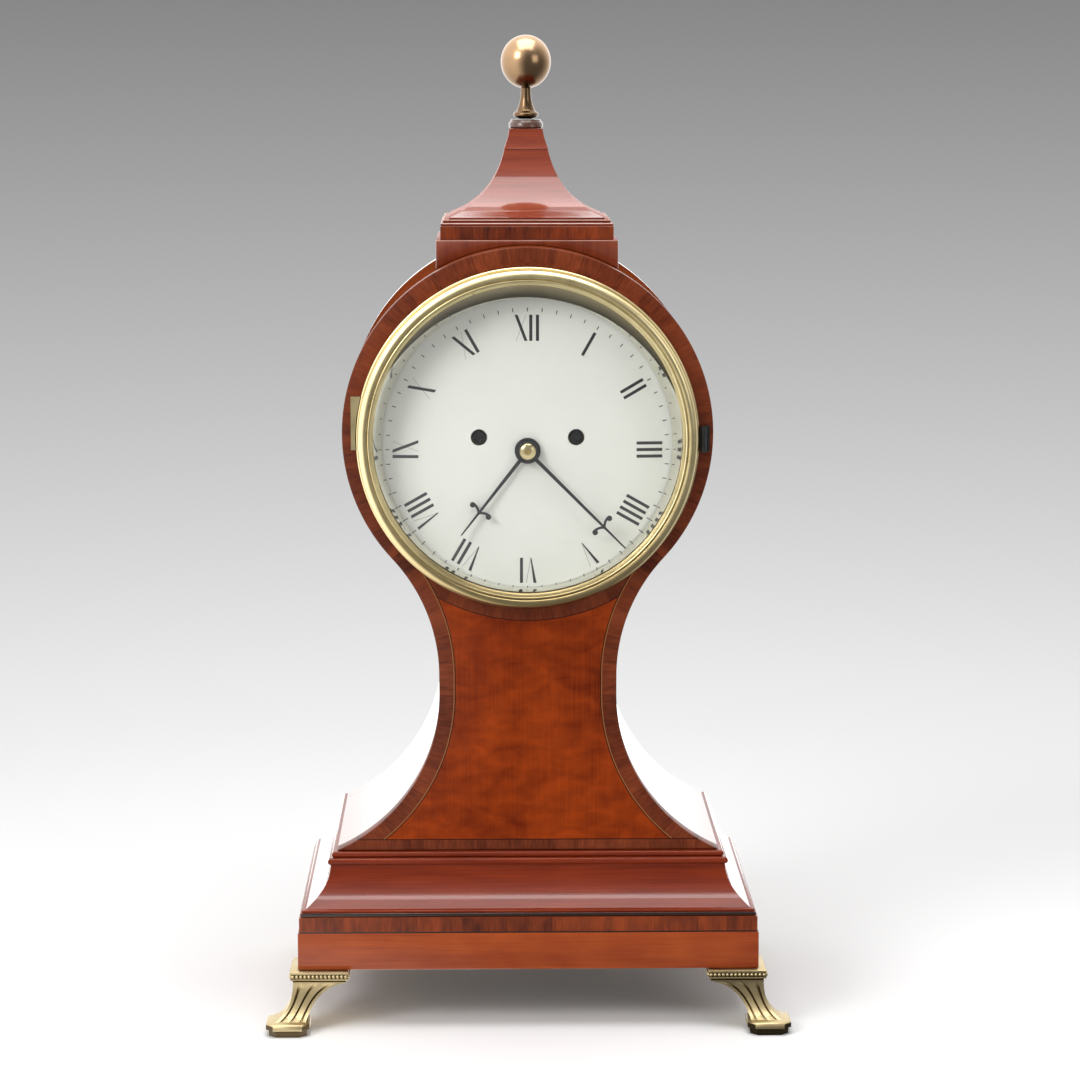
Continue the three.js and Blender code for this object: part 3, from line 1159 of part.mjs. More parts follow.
// Pendulum, hung from a cock on the back plate by a thin spring
const bobZ = PALLET_AT[1] - PENDULUM_LENGTH;
const springTop = PALLET_AT[1] + COCK_HEIGHT / 2;
const springFoot = PALLET_AT[1] - COCK_HEIGHT * 1.5;
const cockLow = PALLET_AT[1] + ARBOR_RADIUS * 2;
const cock = box(-COCK_WIDTH / 2, COCK_WIDTH / 2, MOVEMENT_BACK_Y + FIT, ROD_Y + SPRING_WIDTH,
  cockLow, cockLow + COCK_HEIGHT);
const cockSlot = box(-SPRING_THICKNESS / 2 - FIT * 2, SPRING_THICKNESS / 2 + FIT * 2,
  ROD_Y - SPRING_WIDTH / 2 - FIT, ROD_Y + SPRING_WIDTH * 2, cockLow - 1, springTop + FIT);
add('pendulum_cock', 'brass', cut(cock, cockSlot), movement);
add('suspension_spring', 'steel', box(-SPRING_THICKNESS / 2, SPRING_THICKNESS / 2,
  ROD_Y - SPRING_WIDTH / 2, ROD_Y + SPRING_WIDTH / 2, springFoot, springTop), movement);
const rodFoot = bobZ - BOB_RADIUS - NUT_HEIGHT * 2;
add('pendulum_rod', 'steel', post(0, ROD_Y, ROD_RADIUS, rodFoot, springFoot - FIT), movement);
const bobSheet = turned(0, bobZ, [
  [0, ROD_Y - BOB_THICKNESS / 2],
  [BOB_RADIUS * 0.7, ROD_Y - BOB_THICKNESS * 0.38],
  [BOB_RADIUS, ROD_Y],
  [BOB_RADIUS * 0.7, ROD_Y + BOB_THICKNESS * 0.38],
  [0, ROD_Y + BOB_THICKNESS / 2],
], 24);
const bobBore = post(0, ROD_Y, ROD_RADIUS + FIT, bobZ - BOB_RADIUS * 2, bobZ + BOB_RADIUS * 2);
add('pendulum_bob', 'brass', cut(bobSheet, bobBore), movement);
const nutTop = bobZ - BOB_RADIUS - FIT;
add('rating_nut', 'brass', cut(
  post(0, ROD_Y, NUT_RADIUS, nutTop - NUT_HEIGHT, nutTop),
  post(0, ROD_Y, ROD_RADIUS + FIT, nutTop - NUT_HEIGHT * 2, nutTop + NUT_HEIGHT),
), movement);

// Striking train
const pinCircle = pinToHoop.firstPitch * 0.72;
const liftingPins = [];
for (let i = 0; i < LIFTING_PINS; i += 1) {
  const turn = (2 * Math.PI * i) / LIFTING_PINS;
  liftingPins.push(bar(PIN_AT[0] + pinCircle * Math.cos(turn), PIN_AT[1] + pinCircle * Math.sin(turn),
    ARBOR_RADIUS, pinY - PINION_LENGTH, pinY + FIT, 6));
}
add('pin_wheel', 'brass', join(
  board(moved(teeth(PIN_TEETH, pinToHoop.firstPitch, 0), PIN_AT), pinY, pinY + WHEEL_THICKNESS),
  pinion(PIN_AT, PIN_LEAVES, strikeToPin.secondPitch, strikeToPin.secondPhase, greatY),
  arbor(PIN_AT), ...liftingPins,
), movement);
add('hoop_wheel', 'brass', join(
  wheel(HOOP_AT, HOOP_TEETH, hoopToWarning.firstPitch, 0, hoopY),
  pinion(HOOP_AT, HOOP_LEAVES, pinToHoop.secondPitch, pinToHoop.secondPhase, pinY),
  arbor(HOOP_AT),
), movement);
add('warning_wheel', 'brass', join(
  wheel(WARNING_AT, WARNING_TEETH, warningToFly.firstPitch, 0, warningY),
  pinion(WARNING_AT, LEAVES, hoopToWarning.secondPitch, hoopToWarning.secondPhase, hoopY),
  arbor(WARNING_AT),
), movement);
const FLY_REACH = 11;
add('fly', 'brass', join(
  box(FLY_AT[0] - FLY_REACH, FLY_AT[0] + FLY_REACH, flyFront, flyBack,
    FLY_AT[1] - ARBOR_RADIUS / 2, FLY_AT[1] + ARBOR_RADIUS / 2),
  pinion(FLY_AT, LEAVES, warningToFly.secondPitch, warningToFly.secondPhase, warningY),
  arbor(FLY_AT),
), movement);

// Bell over the plates, on a stand from the back plate, with the hammer beside its lip
const bellY = (TRAIN_Y + BACK_PLATE_Y) / 2 - LAYER;
const bellZ = PLATE_TOP + BELL_LIFT;
const bellTop = bellZ + BELL_HEIGHT;
const bellProfile = [
  [STAND_RADIUS + FIT, bellTop],
  [BELL_RADIUS * 0.5, bellTop - BELL_HEIGHT * 0.06],
  [BELL_RADIUS * 0.8, bellTop - BELL_HEIGHT * 0.3],
  [BELL_RADIUS * 0.92, bellTop - BELL_HEIGHT * 0.65],
  [BELL_RADIUS, bellZ],
  [BELL_RADIUS - BELL_WALL, bellZ],
  [BELL_RADIUS * 0.92 - BELL_WALL, bellTop - BELL_HEIGHT * 0.65],
  [BELL_RADIUS * 0.8 - BELL_WALL, bellTop - BELL_HEIGHT * 0.3 - BELL_WALL / 2],
  [BELL_RADIUS * 0.5, bellTop - BELL_HEIGHT * 0.06 - BELL_WALL],
  [STAND_RADIUS + FIT, bellTop - BELL_WALL],
  [STAND_RADIUS + FIT, bellTop],
];
add('bell', 'brass', spun(0, bellY, bellProfile, 20), movement);
const standZ = PLATE_TOP - STAND_RADIUS * 2;
const standFoot = box(-STAND_RADIUS * 2, STAND_RADIUS * 2, bellY - STAND_RADIUS, BACK_PLATE_Y - FIT,
  standZ, PLATE_TOP);
const washerTop = bellTop - BELL_WALL - FIT;
const standWasher = post(0, bellY, STAND_RADIUS * 2, washerTop - BELL_WALL, washerTop);
add('bell_stand', 'steel', join(
  standFoot, post(0, bellY, STAND_RADIUS, standZ, bellTop + BELL_WALL), standWasher,
), movement);

const headX = -BELL_RADIUS - HAMMER_GAP - HAMMER_HEAD_LENGTH / 2;
const hammerHeadZ = bellZ + HAMMER_HEAD_RADIUS;
const elbowZ = bellZ - HAMMER_ARM * 3;
const hammerArm = board([
  new THREE.Vector2(HAMMER_AT[0] + HAMMER_ARM, HAMMER_AT[1] + HAMMER_ARM / 2),
  new THREE.Vector2(HAMMER_AT[0], HAMMER_AT[1] - HAMMER_ARM),
  new THREE.Vector2(headX - HAMMER_ARM / 2, elbowZ - HAMMER_ARM),
  new THREE.Vector2(headX - HAMMER_ARM / 2, hammerHeadZ),
  new THREE.Vector2(headX + HAMMER_ARM / 2, hammerHeadZ),
  new THREE.Vector2(headX + HAMMER_ARM / 2, elbowZ),
], bellY - HAMMER_ARM / 2, bellY + HAMMER_ARM / 2);
const headBar = new THREE.CylinderGeometry(HAMMER_HEAD_RADIUS, HAMMER_HEAD_RADIUS, HAMMER_HEAD_LENGTH, 12);
headBar.rotateZ(Math.PI / 2);
headBar.translate(headX, bellY, hammerHeadZ);
const TAIL_REACH = [-11.5, -16];
const tailY = pinY - PINION_LENGTH;
const hammerTail = board([
  new THREE.Vector2(HAMMER_AT[0] + ARBOR_RADIUS, HAMMER_AT[1] - ARBOR_RADIUS),
  new THREE.Vector2(HAMMER_AT[0] - ARBOR_RADIUS, HAMMER_AT[1] + ARBOR_RADIUS),
  new THREE.Vector2(HAMMER_AT[0] + TAIL_REACH[0] - ARBOR_RADIUS / 2, HAMMER_AT[1] + TAIL_REACH[1]),
  new THREE.Vector2(HAMMER_AT[0] + TAIL_REACH[0] + ARBOR_RADIUS / 2, HAMMER_AT[1] + TAIL_REACH[1]),
], tailY, tailY + HAMMER_ARM);
add('hammer', 'steel', join(arbor(HAMMER_AT), hammerArm, hammerTail, solid(headBar)), movement);

export default clock;
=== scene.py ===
"""Looks of a balloon mantel clock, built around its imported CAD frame.

Shapes are drawn in millimetres in the shared frame and scaled to metres when a piece is finished: +X is the
viewer's right, the dial faces -Y, and +Z is up from the table.
"""

import sys

import json
import logging
import math
from collections.abc import Callable, Sequence
from dataclasses import dataclass, field
from enum import Enum

import bmesh
import bpy
from mathutils import Matrix, Vector


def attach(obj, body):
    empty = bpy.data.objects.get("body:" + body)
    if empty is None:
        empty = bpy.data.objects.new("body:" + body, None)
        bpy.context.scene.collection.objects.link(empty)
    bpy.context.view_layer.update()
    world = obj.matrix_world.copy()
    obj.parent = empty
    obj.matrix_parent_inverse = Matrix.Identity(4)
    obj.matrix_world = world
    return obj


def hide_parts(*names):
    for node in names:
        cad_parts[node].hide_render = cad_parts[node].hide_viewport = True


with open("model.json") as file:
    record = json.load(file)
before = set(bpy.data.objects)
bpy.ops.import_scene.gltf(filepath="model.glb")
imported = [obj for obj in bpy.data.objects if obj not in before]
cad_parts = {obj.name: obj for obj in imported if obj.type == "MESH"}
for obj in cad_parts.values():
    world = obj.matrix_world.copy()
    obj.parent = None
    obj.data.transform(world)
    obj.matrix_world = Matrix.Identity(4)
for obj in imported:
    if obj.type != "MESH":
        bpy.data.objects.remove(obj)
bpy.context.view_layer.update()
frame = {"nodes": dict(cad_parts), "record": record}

MM = 0.001
# Corners nearer than MERGE are one, and a place within TOUCH of a face lies on it, in millimetres
MERGE = 0.001
TOUCH = 0.01
# Edges that turn by less, in radians, are never rounded
CREASE = 0.6
# How far up a face's normal points: with less than UPRIGHT it stands, with more than LEVEL it lies
UPRIGHT = 0.8
LEVEL = 0.95
WHITE = (1.0, 1.0, 1.0, 1.0)
LOG = logging.getLogger("balloon_clock")
Point = tuple[float, float]
Triple = tuple[float, float, float]
Curve = tuple[Point, Point, Point]
Tree = bpy.types.NodeTree
Node = bpy.types.Node
Socket = bpy.types.NodeSocket


class Axis(Enum):
    """The line that a turned piece is spun about."""

    DEPTH = (0.0, 1.0, 0.0)
    HEIGHT = (0.0, 0.0, 1.0)


class Grain(Enum):
    """Which way the grain runs on a veneered face, as a turn of its mapping in degrees."""

    ALONG = 0.0
    UPRIGHT = 90.0


class Place(Enum):
    """Where a finish takes its pattern's place from."""

    UV = "UV"
    OBJECT = "Object"


# Materials


def linear(code: str) -> tuple[float, float, float, float]:
    """Turns a hex sRGB colour into linear light.

    Args:
        code: six hex digits, with or without a leading hash.

    Returns:
        Linear red, green, blue and an alpha of one.
    """
    digits = code.lstrip("#")
    levels = [int(digits[i : i + 2], 16) / 255 for i in (0, 2, 4)]
    lit = [v / 12.92 if v <= 0.04045 else ((v + 0.055) / 1.055) ** 2.4 for v in levels]
    return (lit[0], lit[1], lit[2], 1.0)


def add_node(tree: Tree, kind: str, settings: dict | None = None, inputs: dict | None = None) -> Node:
    """Adds a shader node with its settings, values and links.

    Args:
        tree: the tree that takes the node.
        kind: Blender's name of the node type.
        settings: attributes of the node.
        inputs: for each input, a value, or the output socket to link to it.

    Returns:
        The new node.
    """
    node = tree.nodes.new(kind)
    for name, value in (settings or {}).items():
        setattr(node, name, value)
    for key, value in (inputs or {}).items():
        if isinstance(value, Socket):
            tree.links.new(value, node.inputs[key])
        else:
            node.inputs[key].default_value = value
    return node


def run_formula(tree: Tree, steps: Sequence[tuple], known: dict) -> dict:
    """Works a table of sums out in math nodes.

    Args:
        tree: the tree that takes the nodes.
        steps: rows of result name, operation and operands, each a name or a number.
        known: sockets that the names stand for at the start.

    Returns:
        The known sockets and the results, by name.
    """
    sockets = dict(known)
    for name, operation, *operands in steps:
        inputs = {i: sockets[o] if isinstance(o, str) else o for i, o in enumerate(operands)}
        sockets[name] = add_node(tree, "ShaderNodeMath", {"operation": operation}, inputs).outputs[0]
    return sockets


def place_in(tree: Tree, source: Place = Place.OBJECT) -> Socket:
    """Gives the place that is shaded.

    Args:
        tree: the tree that takes the node.
        source: where the place is measured.

    Returns:
        The vector's socket.
    """
    return add_node(tree, "ShaderNodeTexCoord").outputs[source.value]


def split(tree: Tree, vector: Socket) -> Sequence[Socket]:
    """Takes a vector apart.

    Args:
        tree: the tree that takes the node.
        vector: the vector's socket.

    Returns:
        The sockets of its x, y and z.
    """
    return add_node(tree, "ShaderNodeSeparateXYZ", None, {0: vector}).outputs


def add_cloud(tree: Tree, size: float, detail: float) -> Socket:
    """Gives soft patches of tone.

    Args:
        tree: the tree that takes the nodes.
        size: how large the patches are, in millimetres.
        detail: how far they break up.

    Returns:
        The tone's socket.
    """
    cloud = {"Vector": place_in(tree), "Scale": 1 / (size * MM), "Detail": detail}
    return add_node(tree, "ShaderNodeTexNoise", None, cloud).outputs[0]


def mix_colours(tree: Tree, share: Socket, first: Socket | tuple, second: Socket | tuple) -> Socket:
    """Mixes two colours, each a value or a socket.

    Args:
        tree: the tree that takes the node.
        share: zero for the first colour and one for the second.
        first: the first colour.
        second: the second colour.

    Returns:
        The mixed colour's socket.
    """
    return add_node(tree, "ShaderNodeMix", {"data_type": "RGBA"}, {0: share, 6: first, 7: second}).outputs[2]


def fade_between(tree: Tree, value: Socket, limits: Point, ends: Point) -> Socket:
    """Fades softly from one number to another.

    Args:
        tree: the tree that takes the node.
        value: what the fade follows.
        limits: the values where it starts and ends.
        ends: the numbers that it runs between.

    Returns:
        The number's socket.
    """
    inputs = {0: value, 1: limits[0], 2: limits[1], 3: ends[0], 4: ends[1]}
    return add_node(tree, "ShaderNodeMapRange", {"interpolation_type": "SMOOTHSTEP"}, inputs).outputs[0]


@dataclass(frozen=True)
class Finish:
    """A real material. Subclasses add the nodes that give its look."""

    name: str

    def material(self) -> bpy.types.Material:
        """Makes the material, or finds it if it was made before.

        Returns:
            The material, with its node tree filled in.
        """
        found = bpy.data.materials.get(self.name)
        if found:
            return found
        made = bpy.data.materials.new(self.name)
        made.use_nodes = True
        tree = made.node_tree
        tree.nodes.clear()
        shader = add_node(tree, "ShaderNodeBsdfPrincipled")
        add_node(tree, "ShaderNodeOutputMaterial", inputs={"Surface": shader.outputs[0]})
        self.dress(tree, shader)
        return made

    def dress(self, tree: Tree, shader: Node) -> None:
        """Adds the nodes of this finish.

        Args:
            tree: the material's tree.
            shader: its Principled shader.
        """
        raise NotImplementedError


@dataclass(frozen=True)
class Veneer(Finish):
    """Polished wood: long grain streaks, slow bands of tone and a mottled figure under a clear gloss coat.

    Streaks, bands and mottle are lengths along and across the grain, in millimetres.
    """

    dark: str
    light: str
    grain: Grain = Grain.ALONG
    place: Place = Place.UV
    streak: Point = (60.0, 0.8)
    band: Point = (190.0, 8.0)
    mottle: Point = (16.0, 9.0)
    shares: Triple = (0.36, 0.34, 0.3)
    detail: Triple = (2.0, 3.0, 2.0)
    wander: float = 0.3
    contrast: float = 2.6
    block: float = 0.0
    leaf: float = 0.75
    under: float = 0.4
    gloss: float = 0.07
    coat: float = 1.0
    sheen: float = 0.1
    relief: Point = (0.03, 0.02)
    worn: Point | None = None

    def vector(self, tree: Tree) -> Socket:
        """Gives the place on the piece in millimetres, with x along the grain.

        Args:
            tree: the material's tree.

        Returns:
            The vector's socket.
        """
        size = 1.0 if self.place is Place.UV else 1.0 / MM
        turn = (0.0, 0.0, math.radians(self.grain.value))
        settings = {"Vector": place_in(tree, self.place), "Rotation": turn, "Scale": (size,) * 3}
        return add_node(tree, "ShaderNodeMapping", None, settings).outputs[0]

    def tone(self, tree: Tree, vector: Socket) -> Socket:
        """Mixes streaks, bands and mottle to one value from dark to light.

        Args:
            tree: the material's tree.
            vector: the place in millimetres, with x along the grain.

        Returns:
            The value's socket.
        """
        layers = []
        for (along, across), detail in zip((self.streak, self.band, self.mottle), self.detail):
            scale = {"Vector": vector, "Scale": (1 / along, 1 / across, 1 / across)}
            cell = add_node(tree, "ShaderNodeMapping", None, scale).outputs[0]
            noise = {"Vector": cell, "Scale": 1.0, "Detail": detail, "Distortion": self.wander}
            layers.append(add_node(tree, "ShaderNodeTexNoise", None, noise).outputs[0])
        sums = [
            ("a", "MULTIPLY", "streak", self.shares[0]),
            ("b", "MULTIPLY_ADD", "band", self.shares[1], "a"),
            ("c", "MULTIPLY_ADD", "mottle", self.shares[2], "b"),
            ("d", "SUBTRACT", "c", 0.5),
            ("tone", "MULTIPLY_ADD", "d", self.contrast, 0.5),
        ]
        known = dict(zip(("streak", "band", "mottle"), layers))
        if self.block:
            # Short lengths of crossbanding butted together, each cut from another leaf
            along = {"along": split(tree, vector)[1]}
            cell = run_formula(tree, [("cell", "DIVIDE", "along", self.block)], along)["cell"]
            leaves = {"W": cell, "Scale": 1.0}
            cut = add_node(tree, "ShaderNodeTexVoronoi", {"voronoi_dimensions": "1D"}, leaves)
            known["leaf"] = cut.outputs["Color"]
            sums += [("e", "SUBTRACT", "leaf", 0.5), ("tone", "MULTIPLY_ADD", "e", self.leaf, "tone")]
        return run_formula(tree, sums, known)["tone"]

    def colour(self, tree: Tree, tone: Socket) -> Socket:
        """Turns the tone into wood colour.

        Args:
            tree: the material's tree.
            tone: zero for the dark of the figure and one for the light.

        Returns:
            The colour's socket.
        """
        return mix_colours(tree, tone, linear(self.dark), linear(self.light))

    def polish(self, tree: Tree, shader: Node, tone: Socket) -> None:
        """Lays the clear French polish over the colour.

        Args:
            tree: the material's tree.
            shader: its Principled shader.
            tone: the figure's value, which stands very slightly through the polish.
        """
        shader.inputs["Roughness"].default_value = self.under
        shader.inputs["Coat Roughness"].default_value = self.gloss
        for socket, amount in (("Specular IOR Level", self.sheen), ("Coat Weight", self.coat)):
            shader.inputs[socket].default_value = amount
            if self.worn:
                tree.links.new(self.wear(tree, amount), shader.inputs[socket])
        strength, depth = self.relief
        relief = {"Strength": strength, "Distance": depth * MM, "Height": tone}
        tree.links.new(add_node(tree, "ShaderNodeBump", None, relief).outputs[0], shader.inputs["Normal"])

    def wear(self, tree: Tree, amount: float) -> Socket:
        """Lets the polish fade out along the run of the grain.

        Args:
            tree: the material's tree.
            amount: how strong it is where it is whole.

        Returns:
            The strength's socket.
        """
        return fade_between(tree, split(tree, self.vector(tree))[0], self.worn, (0.0, amount))

    def dress(self, tree: Tree, shader: Node) -> None:
        tone = self.tone(tree, self.vector(tree))
        tree.links.new(self.colour(tree, tone), shader.inputs["Base Color"])
        self.polish(tree, shader, tone)


@dataclass(frozen=True)
class FittedBoard(Veneer):
    """A wooden board with a brass hinge leaf, which is all that stands proud of its back."""

    fitting: str = "cda95f"
    proud_y: float = 90.1

    def dress(self, tree: Tree, shader: Node) -> None:
        super().dress(tree, shader)
        wood = shader.inputs["Base Color"].links[0].from_socket
        deep = {"y": split(tree, place_in(tree))[1]}
        brass = run_formula(tree, [("brass", "GREATER_THAN", "y", self.proud_y * MM)], deep)["brass"]
        tree.links.new(mix_colours(tree, brass, wood, linear(self.fitting)), shader.inputs["Base Color"])
        tree.links.new(brass, shader.inputs["Metallic"])


@dataclass(frozen=True)
class Metal(Finish):
    """Bare or lacquered metal: soft uneven polish, tarnish left in the corners that a cloth misses, and,
    where asked, painted shade that darkens it towards the bottom.
    """

    colour: str
    tarnish: str
    roughness: float = 0.24
    spread: float = 0.14
    corner: float = 1.6
    dirt: float = 1.6
    cloud: float = 9.0
    wear: Point = (0.5, 0.72)
    # Painted shade: the height where it is darkest, the height above which it is untouched, and the share of
    # clean colour left at the bottom
    painted_low_shade: Triple | None = None

    def dress(self, tree: Tree, shader: Node) -> None:
        shade = add_node(tree, "ShaderNodeAmbientOcclusion", {"samples": 8}, {"Distance": self.corner * MM})
        known = {"ao": shade.outputs["AO"], "patch": add_cloud(tree, self.cloud, 4.0)}
        sums = [
            ("open", "POWER", "ao", self.dirt),
            ("wear", "MULTIPLY_ADD", "patch", *self.wear),
            ("clean", "MULTIPLY", "open", "wear"),
            ("rough", "MULTIPLY_ADD", "patch", self.spread, self.roughness - self.spread / 2),
        ]
        if self.painted_low_shade:
            # Painted shade: darker towards the bottom
            low, high, share = self.painted_low_shade
            up = split(tree, place_in(tree))[2]
            known["low_shade_share"] = fade_between(tree, up, (low * MM, high * MM), (share, 1.0))
            sums.append(("clean", "MULTIPLY", "clean", "low_shade_share"))
        made = run_formula(tree, sums, known)
        colour = mix_colours(tree, made["clean"], linear(self.tarnish), linear(self.colour))
        tree.links.new(colour, shader.inputs["Base Color"])
        tree.links.new(made["rough"], shader.inputs["Roughness"])
        shader.inputs["Metallic"].default_value = 1.0


@dataclass(frozen=True)
class SilverWithPaintedShade(Metal):
    """Silvered brass with painted shade outside a round line: a painted shadow nearly black beside the line,
    then paler painted shade, and dull all over.
    """

    # Painted shadow at the crescent's inner line, and the painted shade that it pales to
    edge: str = "3a3426"
    shade_colour: str = "a0947a"
    middle: Point = (0.0, 0.0)
    radius: float = 100.0
    run: float = 8.0
    blur: float = 0.25
    dull: float = 0.2

    def dress(self, tree: Tree, shader: Node) -> None:
        super().dress(tree, shader)
        silver, rough = (shader.inputs[name].links[0].from_socket for name in ("Base Color", "Roughness"))
        level = {0: place_in(tree), 1: (1.0, 0.0, 1.0)}
        flat = add_node(tree, "ShaderNodeVectorMath", {"operation": "MULTIPLY"}, level).outputs[0]
        spot = {0: flat, 1: (self.middle[0] * MM, 0.0, self.middle[1] * MM)}
        far = add_node(tree, "ShaderNodeVectorMath", {"operation": "DISTANCE"}, spot).outputs["Value"]
        fades = []
        for start, end in ((0.0, self.run), (-self.blur, self.blur)):
            limits = {0: far, 1: (self.radius + start) * MM, 2: (self.radius + end) * MM}
            fades.append(add_node(tree, "ShaderNodeMapRange", None, limits).outputs[0])
        # paler fades the painted shadow into the painted shade; gone marks where the painted shade covers the
        # silver
        paler, gone = fades
        worn = mix_colours(tree, paler, linear(self.edge), linear(self.shade_colour))
        tree.links.new(mix_colours(tree, gone, silver, worn), shader.inputs["Base Color"])
        steps = [("dulled", "MULTIPLY_ADD", "gone", self.dull, "rough")]
        dulled = run_formula(tree, steps, {"gone": gone, "rough": rough})["dulled"]
        tree.links.new(dulled, shader.inputs["Roughness"])


@dataclass(frozen=True)
class Plain(Finish):
    """An even finish with a faint cloud of tone, for ink, blacking, enamel, gut and edges painted pale as
    highlights.
    """

    colour: str
    other: str
    roughness: float
    cloud: float
    coat: float = 0.0

    def dress(self, tree: Tree, shader: Node) -> None:
        patch = add_cloud(tree, self.cloud, 3.0)
        mixed = mix_colours(tree, patch, linear(self.colour), linear(self.other))
        tree.links.new(mixed, shader.inputs["Base Color"])
        shader.inputs["Roughness"].default_value = self.roughness
        shader.inputs["Coat Weight"].default_value = self.coat


@dataclass(frozen=True)
class ClearGlass(Finish):
    """Blown glass: clear, with sharp reflections. Lamps shine through it onto the dial."""

    tint: str
    ior: float = 1.46

    def dress(self, tree: Tree, shader: Node) -> None:
        shader.inputs["Base Color"].default_value = linear(self.tint)
        shader.inputs["Roughness"].default_value = 0.0
        shader.inputs["Transmission Weight"].default_value = 1.0
        shader.inputs["IOR"].default_value = self.ior
        clear = add_node(tree, "ShaderNodeBsdfTransparent", None, {"Color": linear(self.tint)})
        shadow = add_node(tree, "ShaderNodeLightPath").outputs["Is Shadow Ray"]
        looks = {0: shadow, 1: shader.outputs[0], 2: clear.outputs[0]}
        both = add_node(tree, "ShaderNodeMixShader", None, looks)
        out = next(n for n in tree.nodes if n.type == "OUTPUT_MATERIAL")
        tree.links.new(both.outputs[0], out.inputs["Surface"])


# Shared shapes


@dataclass(frozen=True)
class Balloon:
    """The case's front outline: a round head on a waist that sweeps out to a foot, in millimetres."""

    foot_z: float = 108.3
    foot_half: float = 119.5
    waist_half: float = 55.2
    sweep: float = 108.5
    straight: float = 11.87
    head: float = 114.4
    bezel_drop: float = 3.0

    @property
    def sweep_x(self) -> float:
        """How far the centres of the sweeps stand from the middle."""
        return self.waist_half + self.sweep

    @property
    def low_z(self) -> float:
        """Height of the lower sweeps' centres."""
        return self.foot_z + math.sqrt(self.sweep**2 - (self.sweep_x - self.foot_half) ** 2)

    @property
    def high_z(self) -> float:
        """Height of the upper sweeps' centres."""
        return self.low_z + self.straight

    @property
    def head_z(self) -> float:
        """Height of the head's centre."""
        return self.high_z + math.sqrt((self.head + self.sweep) ** 2 - self.sweep_x**2)

    @property
    def bezel_z(self) -> float:
        """Height of the bezel's centre."""
        return self.head_z - self.bezel_drop

    @property
    def turn(self) -> float:
        """The angle, above the horizontal, of the line from the head's centre to a sweep's centre."""
        return math.atan2(self.head_z - self.high_z, self.sweep_x)


BALLOON = Balloon()
# Height of the hands' axis, how far beside and above it the winding arbors lie, and the cap's middle in depth
HAND_Z = 359.54
WINDING = (30.0, 8.0)
CAP_Y = 9.0


